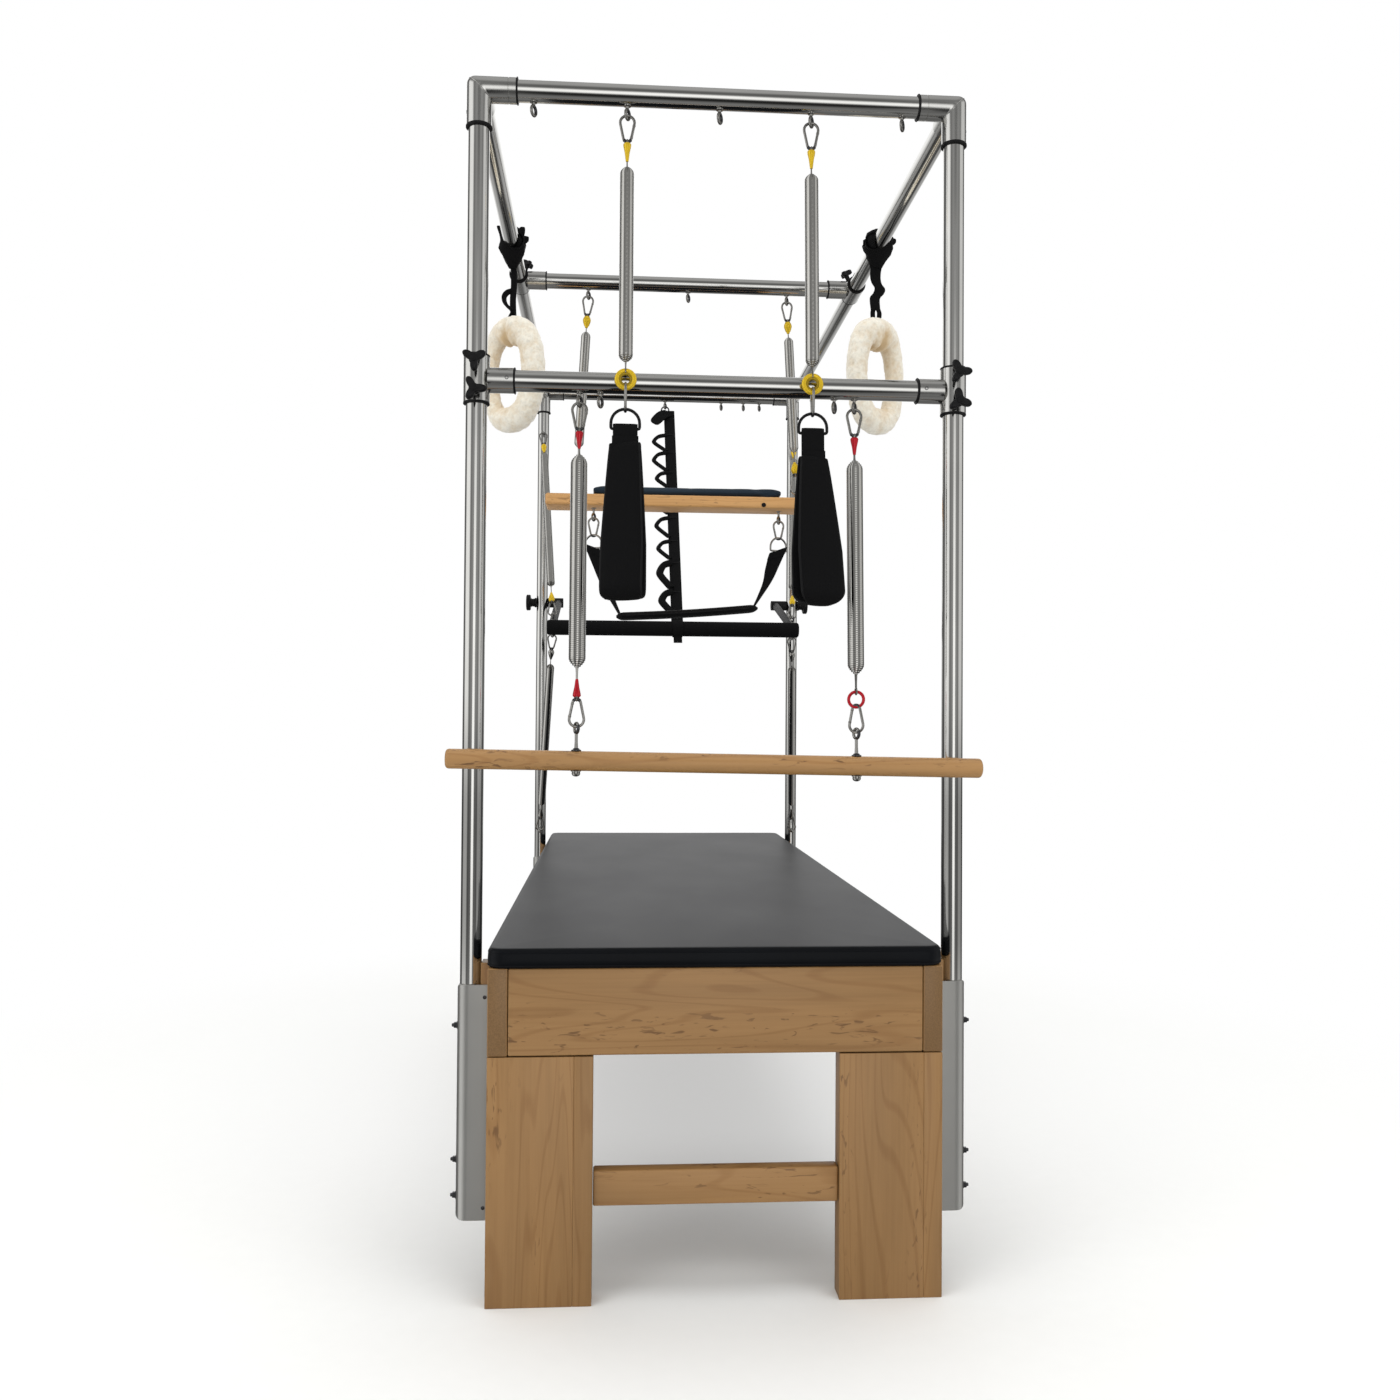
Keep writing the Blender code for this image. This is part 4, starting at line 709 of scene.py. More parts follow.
class Shape:
    """Parts gathered for one piece, each with its own finish."""

    def __init__(self):
        self.points = []
        self.faces = []
        self.kinds = []
        self.marks = []
        self.count = 0

    def put(self, part, kind, matrix=None):
        """Add a part with its finish, moved by a matrix."""
        points, faces = part
        points = np.asarray(points, float)
        if matrix is not None:
            grid = np.array(matrix)
            points = points @ grid[:3, :3].T + grid[:3, 3]
        if kind not in self.kinds:
            self.kinds.append(kind)
        self.points.append(points)
        self.faces.extend(tuple(i + self.count for i in face) for face in faces)
        self.marks.extend([self.kinds.index(kind)] * len(faces))
        self.count += len(points)

    def build(self, name, angle=35):
        """One smooth-shaded object whose hard edges stay sharp."""
        mesh = bpy.data.meshes.new(name)
        mesh.from_pydata(np.concatenate(self.points).tolist(), [], self.faces)
        for kind in self.kinds:
            mesh.materials.append(finish(kind))
        mesh.polygons.foreach_set("material_index", self.marks)
        bm = bmesh.new()
        bm.from_mesh(mesh)
        bmesh.ops.recalc_face_normals(bm, faces=bm.faces)
        bm.to_mesh(mesh)
        bm.free()
        mesh.shade_smooth()
        mesh.set_sharp_from_angle(angle=radians(angle))
        obj = bpy.data.objects.new(name, mesh)
        bpy.context.scene.collection.objects.link(obj)
        return obj


def fit(obj, body, nodes):
    """Let a piece ride on its body, in place of its frame nodes."""
    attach(obj, body)
    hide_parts(*nodes)
    return obj


def fit_between(obj, bodies, start, end, slot, node):
    """Put a piece, its transform baked into its mesh, in place of its frame node."""
    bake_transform(obj)
    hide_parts(node)
    return obj


# Fittings

def canopy_tube(shape, start, end, axis):
    """A hollow canopy tube between two points."""
    start = Vector(start)
    run = Vector(end) - start
    ease = 0.0004
    inner = TUBE_RADIUS - TUBE_WALL
    profile = [(TUBE_RADIUS - ease, 0), (TUBE_RADIUS, ease), (TUBE_RADIUS, run.length - ease),
               (TUBE_RADIUS - ease, run.length), (inner, run.length), (inner, 0)]
    shape.put(turned(profile, ROUND_SIDES, True), "Tube " + axis, facing(start, run))


def seal(shape, centre, direction, length=SEAL_LENGTH):
    """A black ring on a tube, against the end of a sleeve."""
    ease = 0.0006
    outer = SOCKET_RADIUS + SEAL_PROUD
    profile = [(SLEEVE_BORE, 0), (outer - ease, 0), (outer, ease), (outer, length - ease),
               (outer - ease, length), (SLEEVE_BORE, length)]
    shape.put(turned(profile, ROUND_SIDES, True), "Seal", facing(centre, direction))


def sleeve(shape, centre, direction, low, high, radius):
    """An open sleeve along direction, from low to high, with eased rims."""
    profile = [(SLEEVE_BORE, low), (radius - RIM_EASE, low), (radius, low + RIM_EASE),
               (radius, high - RIM_EASE), (radius - RIM_EASE, high), (SLEEVE_BORE, high)]
    shape.put(turned(profile, ROUND_SIDES, True), "Fitting", facing(centre, direction))


def set_screw(shape, centre, direction, radius):
    """A grub screw sunk in a sleeve."""
    rim = turned([(0.0034, -0.002), (0.0034, 0.0003), (0.0022, 0.0003), (0.0022, -0.001),
                  (0.0001, -0.001)], 24)
    shape.put(rim, "Screw", facing(Vector(centre) + Vector(direction) * radius, direction))


def eyebolt(shape, root, direction, reach=TUBE_RADIUS, drop=EYE_DROP):
    """An eyebolt with a collar, standing out of a tube's or board's face."""
    root = Vector(root)
    direction = Vector(direction).normalized()
    face = root + direction * reach
    centre = face + direction * drop
    across = direction.cross(Matrix.Rotation(EYE_TURN, 3, direction) @ X_AXIS)
    half_width = EYE_RADIUS * 0.92
    half_height = EYE_RADIUS * 1.08
    ring = [centre + across * half_width * sin(a) - direction * half_height * cos(a)
            for a in round_angles(36)]
    shaded_third = len(ring) // 3
    shape.put(swept(ring, EYE_WIRE, 12, True), "Hook")
    # Painted shade: a third of the ring, beside its shank, is sheathed in the dark screw steel
    shape.put(swept(np.roll(ring, shaded_third, 0)[:shaded_third + 1], EYE_WIRE * 1.06, 12), "Screw")
    shank = drop - EYE_RADIUS
    profile = [(0.0033, -0.004), (0.0033, shank * 0.25), (0.0028, shank * 0.5),
               (0.0028, shank + 0.0008)]
    shape.put(turned(profile, 20), "Hook", facing(face, direction))
    washer = [(0.0062, -0.0012), (0.0068, -0.0004), (0.0066, 0.0008), (0.0034, 0.0016)]
    shape.put(turned(washer, 28), "Hook", facing(face, direction))


def pear_outline(length, wide, narrow, upper=PEAR_CROWN, lower=9):
    """The centreline (u, v) of a pear, from its wide end at v = 0 down to -length."""
    top = -wide
    low = -length + narrow
    lean = asin((wide - narrow) / (top - low))
    crown = [(wide * cos(a), top + wide * sin(a)) for a in np.linspace(-lean, pi + lean, upper)]
    foot = [(narrow * cos(a), low + narrow * sin(a))
            for a in np.linspace(pi + lean, tau - lean, lower)]
    return crown + foot


def snap_link(shape, matrix, top, length, wide_up=True, plane="XZ", kind="Hook"):
    """A pear-shaped snap link: bent wire, a gate on one side, its hinge and its nose."""
    outline = pear_outline(length, LINK_WIDE, LINK_NARROW)
    if not wide_up:
        outline = [(-u, -length - v) for u, v in outline]

    def place(u, v):
        return (u, 0, v + top) if plane == "XZ" else (0, u, v + top)

    shape.put(swept([place(u, v) for u, v in outline], LINK_WIRE, 12, True), kind, matrix)
    a = Vector(place(*outline[0]))
    run = Vector(place(*outline[-1])) - a
    for start, stop, girth in ((0.06, 0.18, 1.16), (0.84, 0.98, 1.14)):
        profile = rounded_ends(LINK_WIRE * girth, run.length * (stop - start), 0.0007)
        shape.put(turned(profile, 16), kind, matrix @ facing(a + run * start, run))
    cross = Y_AXIS if plane == "XZ" else X_AXIS
    rivet = a + run * 0.12 - cross * LINK_WIRE * 1.35
    shape.put(turned(rounded_ends(0.0011, LINK_WIRE * 2.7, 0.0004), 12), kind,
              matrix @ facing(rivet, cross))
    narrow_end = [place(u, v) for u, v in outline[PEAR_CROWN + 1:-1]]
    shape.put(swept(narrow_end, LINK_WIRE * 1.22, 12), "Screw", matrix)


def coated_drop(shape, matrix, wide, narrow, radius, belly, kind):
    """The dipped end of a spring's hook: a drop between two heights, thin towards the spring."""
    run = narrow - wide
    length = abs(run)
    profile = [(0.0001, 0), (radius * 0.55, length * 0.015), (radius * 0.84, belly * length * 0.45),
               (radius * 0.97, belly * length * 0.8), (radius, belly * length),
               (radius * 0.93, (belly + 0.12) * length), (radius * 0.62, (belly + 0.42) * length),
               (radius * 0.42, 0.86 * length), (radius * 0.34, 0.97 * length), (0.0001, length)]
    shape.put(turned(profile, 28), kind, matrix @ facing((0, 0, wide), (0, 0, run)))
    cuff = matrix @ Matrix.Translation((0, 0, wide + run * 0.02))
    shape.put(torus(radius * 0.52, 0.0011, 28, 8), "Screw", cuff)


def coil(shape, matrix, top, bottom, radius, wire):
    """A close-wound spring about Z, its turns shallow ribs, domed over its last turns."""
    per_turn = sizes().turn_points
    turns = max(12, round((top - bottom) / (wire * 2.06)))
    count = turns * per_turn
    steps = np.arange(count + 1)
    share = np.minimum(1, np.minimum(steps, count - steps) / (COIL_TAPER * per_turn))
    reach = COIL_TIP + (radius - COIL_TIP) * np.sin(share * pi / 2)
    angle = tau * steps / per_turn
    height = top + (bottom - top) * steps / count
    section = [(-wire * rise * rise / COIL_FLATNESS, wire * rise)
               for rise in (-1.25, -0.85, -0.42, 0, 0.42, 0.85, 1.25)]
    section.append((-wire * 1.6, 0))
    rings = [[((r + u) * cos(a), (r + u) * sin(a), h + v) for u, v in section]
             for r, a, h in zip(reach, angle, height)]
    shape.put(skinned(rings), "Coil", matrix)


def spring(shape, matrix, length, gaps, coil_radius, wire, coat, drop, low_end="drop"):
    """A spring below an eye at the matrix's origin, with its links and coated ends.

    Its length is from that eye to the lower one, and it returns its coils' two ends.
    """
    drop_radius, drop_length, belly = drop
    body_top = -gaps[0]
    body_bottom = gaps[1] - length
    grip = LINK_WIRE + CONE_EYE_WIRE - LINK_SINK - CONE_EYE
    link_top = HOOK_DEPTH + LINK_LENGTH - length

    def coated_end(eye, way):
        """A coated drop on an eye, and the height at which it ends."""
        thin_end = eye + way * drop_length
        coated_drop(shape, matrix, eye, thin_end, drop_radius, belly, coat)
        shape.put(torus(CONE_EYE, CONE_EYE_WIRE, 28, 10), "Hook",
                  matrix @ facing((0, 0, eye), X_AXIS))
        return thin_end

    snap_link(shape, matrix, -HOOK_DEPTH, LINK_LENGTH)
    start = coated_end(-HOOK_DEPTH - LINK_LENGTH + grip, -1)
    if low_end == "drop":
        snap_link(shape, matrix, link_top, LINK_LENGTH, wide_up=False)
        end = coated_end(link_top - grip, 1)
    elif low_end == "hoop":
        centre = link_top - LINK_WIRE - LOW_HOOP_WIRE + LINK_SINK + LOW_HOOP
        snap_link(shape, matrix @ Matrix.Rotation(-0.55, 4, "Z"), link_top, LINK_LENGTH,
                  wide_up=False)
        shape.put(torus(LOW_HOOP, LOW_HOOP_WIRE, 40, 12), coat,
                  matrix @ facing((0, 0, centre), (-0.45, -0.9, 0)))
        end = centre + LOW_HOOP
    else:
        place = matrix @ facing((0, 0, -length), Y_AXIS)
        shape.put(torus(ARM_RING, ARM_RING_WIRE, 40, 14), coat, place)
        # Painted shade: a thinner ring of the darker yellow inside the ring, for the shade on its
        # inner side
        shaded_lining = torus(ARM_RING - ARM_RING_WIRE * 1.10, ARM_RING_WIRE * 0.74, 40, 12)
        shape.put(shaded_lining, "Amber", place)
        end = ARM_RING - length
    coil(shape, matrix, body_top, body_bottom, coil_radius, wire)
    for height, stop in ((start, body_top), (end, body_bottom)):
        way = 1 if stop < height else -1
        post = [(0, 0, height + way * 0.002), (0, 0, (height + stop) / 2),
                (0, 0, stop - way * 0.004)]
        shape.put(swept(post, (wire * 1.2, wire * 1.25, wire * 1.8), 10), "Hook", matrix)
    if low_end != "drop":
        shape.put(torus(0.0055, wire * 1.15, 24, 8), "Hook",
                  matrix @ facing((0, 0, end + 0.0010), X_AXIS))
    return matrix @ Vector((0, 0, body_top)), matrix @ Vector((0, 0, body_bottom))


# Table

def put_leg(shape, node, seed):
    """A leg glued from a wide board and, on its right, a strip, with an open joint at its top."""
    low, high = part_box(node)
    open_joint = 0.0014
    high = high - Z_AXIS * open_joint
    strip_width = 0.033
    split = high.x - strip_width
    for start, stop, number in ((low.x, split, seed), (split, high.x, seed + 20)):
        size = Vector((stop - start, high.y - low.y, high.z - low.z))
        centre = Vector(((start + stop) / 2, (low.y + high.y) / 2, (low.z + high.z) / 2))
        shape.put(rounded_box(size, centre, 0.0011), f"Maple Z {number}")


def make_wooden_frame():
    """Legs, stretchers and aprons at both ends, and a side rail on each side."""
    for end, first_seed in (("front", 1), ("rear", 4)):
        for number, side in enumerate(("left", "right")):
            node = f"leg_{end}_{side}"
            shape = Shape()
            put_leg(shape, node, first_seed + number)
            fit(shape.build(f"{end}_{side}_leg"), "table_frame", [node])
        for node, seed in (("stretcher_" + end, 6), ("apron_" + end, 2)):
            shape = Shape()
            size = extent(node) - Vector((0.0016, 0, 0.0004))
            shape.put(rounded_box(size, middle(node), sizes().board_edge), f"Maple X {seed}")
            fit(shape.build(node + "_board"), "table_frame", [node])
    for sign, side in SIDES:
        make_side_rail(sign, side)


def make_side_rail(sign, side):
    """A long side rail with its ledger and the blocks that carry the posts."""
    box_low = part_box("apron_front")[0].z
    box_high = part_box("apron_front")[1].z
    thickness = extent("apron_front").y
    length = extent("side_rail_right").y
    shape = Shape()
    centre = (sign * (TABLE_SIDE_X - thickness / 2), 0, (box_low + box_high) / 2)
    shape.put(rounded_box((thickness, length, box_high - box_low), centre,
                          sizes().board_edge * 0.6), f"Maple Y {3 if sign < 0 else 5}")
    ledger_size = (0.025, length - 2 * thickness - 0.001, 0.030)
    ledger_place = (sign * (TABLE_SIDE_X - thickness - 0.0122), 0, box_high - 0.0158)
    shape.put(rounded_box(ledger_size, ledger_place, 0.001), "Maple Y 7")
    outer = POST_X - TUBE_RADIUS - CLEARANCE
    inner = TABLE_SIDE_X - 0.0005
    low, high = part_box("side_rail_right")
    block_top = high.z - 0.0008
    for y in (FRONT_Y, REAR_Y):
        block = rounded_box((outer - inner, 0.038, block_top - low.z),
                            (sign * (outer + inner) / 2, y, (block_top + low.z) / 2), 0.0012)
        shape.put(block, "Maple Z 8")
    fit(shape.build(side + "_side_board"), "table_frame", ["side_rail_" + side])


def rounded_plan(half_x, half_y, corner):
    """Points round a rectangle with round corners, the same number at any inset."""
    per_corner, per_side = 8, 44
    corner = max(corner, 0.0004)
    centres = [(sx * (half_x - corner), sy * (half_y - corner))
               for sx, sy in ((1, 1), (-1, 1), (-1, -1), (1, -1), (1, 1))]
    points = []
    for index, ((x, y), (next_x, next_y)) in enumerate(zip(centres, centres[1:])):
        angles = index * pi / 2 + np.linspace(0, pi / 2, per_corner + 1)
        points += [(x + corner * cos(a), y + corner * sin(a)) for a in angles]
        end_x, end_y = points[-1]
        points += [(end_x + (next_x - x) * share, end_y + (next_y - y) * share)
                   for share in np.arange(1, per_side) / per_side]
    return points


def make_mat():
    """The mat: a crowned pad with a welt along its upper and lower rims."""
    low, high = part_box("mat_pad")
    half_x = (high.x - low.x) / 2
    half_y = (high.y - low.y) / 2
    edge = 0.010
    corner = 0.030
    crown = sizes().mat_crown
    top = high.z
    rings = []

    def ring(inset, height, ripple):
        """Points round the mat at an inset from its outline, with slow waves in their height."""
        points = []
        for x, y in rounded_plan(half_x - inset, half_y - inset, corner - inset):
            wave = noise.noise(Vector((x * 3.1, y * 3.1, 0.4))) * ripple
            points.append((x, y, height + wave))
        return points

    side = 0.0012
    rings.append(ring(0.02, low.z, 0))
    rings.append(ring(0.004, low.z, 0))
    rings.append(ring(side, low.z + 0.003, 0))
    rings.append(ring(side * 0.4, (low.z + top) / 2 - 0.004, 0))
    for angle in np.linspace(0, pi / 2, 7):
        inset = side + edge * (1 - cos(angle))
        rings.append(ring(inset, top - crown - edge * (1 - sin(angle)), 0.0003 * sin(angle)))
    for inset in (0.014, 0.020, 0.030, 0.045, 0.065, 0.09, 0.13, 0.18, 0.24, 0.31, 0.37,
                  half_x - 0.004):
        share = 1 - (1 - inset / half_x) ** 3
        rings.append(ring(inset, top - crown + (crown - 0.0004) * share, 0.0005))
    shape = Shape()
    shape.put(skinned(rings), "Mat")
    for height, inset in ((top - crown - edge * 0.72, 0.0026), (low.z + 0.0045, 0.0016)):
        plan = rounded_plan(half_x - inset, half_y - inset, corner - inset)
        welt = [(x, y, height) for x, y in plan]
        shape.put(swept(welt, 0.0017, 8, True), "Mat")
    mat = fit(shape.build("mat", 60), "table_frame", ["mat_pad"])


def make_post_brackets():
    """Aluminium channels that hold the posts, with their plates, bolts and screws."""
    for end, y in ENDS:
        for sign, side in SIDES:
            node = f"post_bracket_{end}_{side}"
            low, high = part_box(node)
            shape = Shape()
            put_bracket(shape, sign, y, low.z, high.z)
            fit(shape.build(f"{end}_{side}_bracket"), "table_frame", [node])


def put_bracket(shape, sign, y, low, high):
    """A U-shaped channel round a post, its backing plate, three bolts and four screws."""
    outer = SLEEVE_BORE + 0.0035
    back = POST_X - TABLE_SIDE_X - 0.0034
    angles = np.linspace(-pi / 2, pi / 2, 25)
    outline = [(-back, -outer)] + [(outer * cos(a), outer * sin(a)) for a in angles]
    outline += [(-back, outer), (-back, SLEEVE_BORE)]
    outline += [(SLEEVE_BORE * cos(a), SLEEVE_BORE * sin(a)) for a in reversed(angles)]
    outline += [(-back, -SLEEVE_BORE)]
    half_turn = Matrix.Rotation(0 if sign > 0 else pi, 4, "Z")
    turn = Matrix.Translation((sign * POST_X, y, 0)) @ half_turn
    points, faces = extruded(outline, low, high, 0.0006)
    corner = 0.009
    along = np.clip((points[:, 0] - (outer - corner)) / corner, 0, 1)
    drop = corner * (1 - np.sqrt(1 - along ** 2))
    points[:, 2] += np.where(points[:, 2] > (low + high) / 2, -drop, drop)
    shape.put((points, faces), "Aluminium", turn)
    plate_place = (sign * (TABLE_SIDE_X + 0.0018), y, (low + high) / 2 - 0.0025)
    plate = rounded_box((0.003, 0.056, high - low + 0.007), plate_place, 0.0008)
    shape.put(plate, "Lacquer")
    for z in BOLT_HEIGHTS:
        outward = facing((sign * (POST_X + outer - 0.0004), y, z), (sign, 0, 0))
        washer = turned([(0.0062, 0), (0.0066, 0.0004), (0.0066, 0.0010), (0.0062, 0.0014)], 28)
        shape.put(washer, "Screw", outward)
        hexagon = [(0.0054 * cos(a), 0.0054 * sin(a)) for a in round_angles(6)]
        head = layered(hexagon, [(1, 0.001), (1, 0.0058), (0.84, 0.0066)])
        shape.put(head, "Screw", outward)
        tip = turned([(0.0031, 0.0060), (0.0031, 0.0094), (0.0024, 0.0101), (0.0001, 0.0102)], 20)
        shape.put(tip, "Screw", outward)
    for z in (low + 0.022, high - 0.022):
        for front in (-1, 1):
            root = Vector((sign * (TABLE_SIDE_X + 0.010), y + front * (outer - 0.0004), z))
            screw = turned([(0.0036, 0), (0.0034, 0.0009), (0.0022, 0.0015), (0.0001, 0.0016)], 20)
            shape.put(screw, "Screw", facing(root, (0, front, 0)))


# Canopy

def put_elbow(shape, sign, end):
    """A mitred corner with a third sleeve for the long rail, and its seals."""
    centre = Vector((sign * POST_X, FRONT_Y if end < 0 else REAR_Y, RAIL_Z))
    inward = Vector((-sign, 0, 0))
    down = -Z_AXIS

    def ring(radius, reach, direction):
        """Points round the bend at a reach along one arm, or at a turn in its corner."""
        points = []
        for angle in round_angles(ROUND_SIDES):
            across = Y_AXIS * radius * cos(angle)
            rise = radius * sin(angle)
            if direction is inward:
                points.append(centre + across + Z_AXIS * rise + inward * reach)
            elif direction is down:
                points.append(centre + across - inward * rise + down * reach)
            else:
                bend = min(max(0.0075 + rise * 0.30, 0.0006), 0.015)
                hub = centre + across + (Z_AXIS - inward) * (rise - bend)
                points.append(hub + (Z_AXIS * sin(reach) - inward * cos(reach)) * bend)
        return points

    far = SOCKET_REACH
    groove = [(SOCKET_RADIUS, far - RIM_EASE), (SOCKET_RADIUS, far - 0.0135),
              (SOCKET_RADIUS - 0.0008, far - 0.0139), (SOCKET_RADIUS - 0.0008, far - 0.0147),
              (SOCKET_RADIUS, far - 0.0151)]
    rings = [ring(SLEEVE_BORE, far - 0.01, inward), ring(SLEEVE_BORE, far, inward),
             ring(SOCKET_RADIUS - RIM_EASE, far, inward)]
    rings += [ring(radius, reach, inward) for radius, reach in groove]
    rings += [ring(SOCKET_RADIUS, turn, None) for turn in np.linspace(pi / 2, 0, 7)]
    rings += [ring(SOCKET_RADIUS, far - RIM_EASE, down),
              ring(SOCKET_RADIUS - RIM_EASE, far, down),
              ring(SLEEVE_BORE, far, down), ring(SLEEVE_BORE, far - 0.01, down)]
    shape.put(skinned(rings), "Fitting")
    seam = [centre + (Vector(p) - centre) * 1.003 for p in ring(SOCKET_RADIUS, pi / 4, None)]
    shape.put(swept(seam, 0.0006, 6, True), "Aluminium")
    along = Vector((0, -end, 0))
    sleeve(shape, centre, along, 0.002, far, SOCKET_RADIUS - 0.0003)
    seal(shape, centre + inward * far, inward)
    seal(shape, centre + down * far, down, 0.0040)
    set_screw(shape, centre + inward * far * 0.62, Z_AXIS, SOCKET_RADIUS)
    set_screw(shape, centre + down * far * 0.62, -inward, SOCKET_RADIUS)


def make_canopy():
    """Posts, crossbars and top tubes with their eyebolts, and the elbows between them."""
    for end, y in ENDS:
        for sign, side in SIDES:
            node = f"post_{end}_{side}"
            low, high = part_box(node)
            shape = Shape()
            canopy_tube(shape, (sign * POST_X, y, low.z), (sign * POST_X, y, high.z), "Z")
            if end == "rear":
                for z in (UPPER_EYE_Z, LOWER_EYE_Z):
                    eyebolt(shape, (sign * POST_X, y, z), -Y_AXIS)
            fit(shape.build(f"{end}_{side}_post"), "table_frame", [node])
            corner = f"corner_{end}_{side}"
            shape = Shape()
            put_elbow(shape, sign, -1 if end == "front" else 1)
            fit(shape.build(f"{end}_{side}_elbow"), "table_frame", [corner])
        low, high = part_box("crossbar_" + end)
        shape = Shape()
        canopy_tube(shape, (low.x, y, RAIL_Z), (high.x, y, RAIL_Z), "X")
        for x in FRONT_EYES if end == "front" else REAR_EYES:
            eyebolt(shape, (x, y, RAIL_Z), -Z_AXIS)
        fit(shape.build(end + "_crossbar"), "table_frame", ["crossbar_" + end])
    for sign, side in SIDES:
        low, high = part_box("top_rail_" + side)
        shape = Shape()
        canopy_tube(shape, (sign * POST_X, low.y, RAIL_Z), (sign * POST_X, high.y, RAIL_Z), "Y")
        fit(shape.build(side + "_top_tube"), "table_frame", ["top_rail_" + side])


def put_tee(shape, centre, run, branch):
    """A sliding collar: a sleeve along run and a socket along branch, with their seals."""
    half = COLLAR_LENGTH / 2
    sleeve(shape, centre, run, -half, half, COLLAR_RADIUS)
    sleeve(shape, centre, branch, TUBE_RADIUS + 0.001, SOCKET_REACH, SOCKET_RADIUS)
    for direction in (run, -run):
        seal(shape, centre + direction * half, direction, 0.0028)
    seal(shape, centre + branch * SOCKET_REACH, branch)


def star_outline(radius, hub, first):
    """Three blunt lobes with hollow sides between them, the first at an angle from X."""
    points = []
    for angle in round_angles(96):
        lobe = ((1 + cos(3 * (angle - first))) / 2) ** 1.6
        reach = hub + (radius - hub) * lobe
        points.append((reach * cos(angle), reach * sin(angle)))
    return points


def make_front_bar():
    """The bar between the front posts, with its eyebolts, two collars and four star knobs."""
    low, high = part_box("slide_bar")
    centre = Vector((0, FRONT_Y, COLLAR_Z))
    shape = Shape()
    canopy_tube(shape, (low.x, FRONT_Y, COLLAR_Z), (high.x, FRONT_Y, COLLAR_Z), "X")
    for x in SLIDE_BAR_EYES:
        eyebolt(shape, (x, FRONT_Y, COLLAR_Z), -Z_AXIS)
    fit(shape.build("front_bar"), "front_slider", ["slide_bar"])
    for sign, side in SIDES:
        place = centre + X_AXIS * sign * POST_X
        shape = Shape()
        put_tee(shape, place, Z_AXIS, -X_AXIS * sign)
        set_screw(shape, place - X_AXIS * sign * 0.055, -Y_AXIS, SOCKET_RADIUS)
        fit(shape.build(side + "_collar"), "front_slider", ["slide_collar_" + side])
        for level in ("upper", "lower"):
            node = f"star_knob_{level}_{side}"
            make_star_knob(node, f"{level}_{side}_star", f"clamp_{level}_{side}")


def make_star_knob(node, name, body):
    """A three-lobed clamp knob with a rounded rim, a cap and its stud."""
    root_x = POST_X if middle(node).x > 0 else -POST_X
    half_spacing = 0.0265
    root = Vector((root_x, FRONT_Y, COLLAR_Z + half_spacing * (1 if "upper" in node else -1)))
    outward = facing(root, -Y_AXIS)
    face = COLLAR_RADIUS + CLEARANCE
    star = face + 0.0152
    outline = star_outline(sizes().star_radius, 0.0088, STAR_TURNS[node])
    layers = [(0.80, 0), (0.93, 0.0008), (1, 0.003), (1, 0.0085), (0.95, 0.0112),
              (0.84, 0.0126), (0.62, 0.0130), (0.40, 0.0124)]
    shape = Shape()
    shape.put(layered(outline, layers), "Knob", outward @ Matrix.Translation((0, 0, star)))
    cap = turned([(0.0068, 0.011), (0.0066, 0.0132), (0.0052, 0.0140), (0.0001, 0.0142)], 36)
    shape.put(cap, "Seal", outward @ Matrix.Translation((0, 0, star)))
    boss = turned([(0.0078, 0), (0.0082, 0.001), (0.0082, 0.006), (0.0100, 0.0154)], 36)
    shape.put(boss, "Knob", outward @ Matrix.Translation((0, 0, face)))
    stud = turned(rounded_ends(0.0038, 0.014, 0.0004), 24)
    shape.put(stud, "Hook", outward @ Matrix.Translation((0, 0, TUBE_RADIUS + CLEARANCE)))
    fit(shape.build(name, 40), body, [node])


def make_top_bar():
    """The bar between the top tubes, with its eyebolts, collars and two small knobs."""
    centre = Vector((0, TOP_SLIDER_Y, RAIL_Z))
    shape = Shape()
    reach = POST_X - SOCKET_REACH + 0.02
    canopy_tube(shape, centre - X_AXIS * reach, centre + X_AXIS * reach, "X")
    for x in SLIDER_EYES:
        eyebolt(shape, (x, TOP_SLIDER_Y, RAIL_Z), -Z_AXIS)
    for sign in (-1, 1):
        put_tee(shape, centre + X_AXIS * sign * POST_X, Y_AXIS, -X_AXIS * sign)
    fit(shape.build("top_bar"), "top_carriage", ["top_slider"])
    tilt = radians(26)
    for sign, side in SIDES:
        direction = Vector((-sign * sin(tilt), 0, cos(tilt)))
        matrix = facing(centre + X_AXIS * sign * POST_X, direction)
        face = 0.0285
        shape = Shape()
        stem = [(0.0056, face - 0.001), (0.0062, face), (0.0056, face + 0.006),
                (0.0064, face + 0.0145)]
        shape.put(turned(stem, 32), "Knob", matrix)
        shape.put(turned([(0.0038, TUBE_RADIUS + CLEARANCE), (0.0038, face)], 24), "Hook", matrix)
        star = layered(star_outline(0.0175, 0.0078, 0.4),
                       [(0.80, 0.0130), (0.97, 0.0142), (1, 0.0162), (1, 0.0215), (0.93, 0.0240),
                        (0.72, 0.0252), (0.40, 0.0256)])
        shape.put(star, "Knob", matrix @ Matrix.Translation((0, 0, face)))
        node = "slider_knob_" + side
        fit(shape.build(side + "_top_knob", 40), "top_clamp_" + side, [node])


# Springs and what hangs on them

def d_outline(top, half_width, height):
    """A D with its round side up, in the XZ plane."""
    points = [(half_width * cos(a), 0, top - half_width + half_width * sin(a))
              for a in np.linspace(0, pi, 15)]
    low = top - height
    corner = 0.003
    points += [(-half_width, 0, low + corner), (-half_width + corner * 0.3, 0, low + corner * 0.3),
               (-half_width + corner, 0, low), (0, 0, low), (half_width - corner, 0, low),
               (half_width - corner * 0.3, 0, low + corner * 0.3), (half_width, 0, low + corner)]
    return points


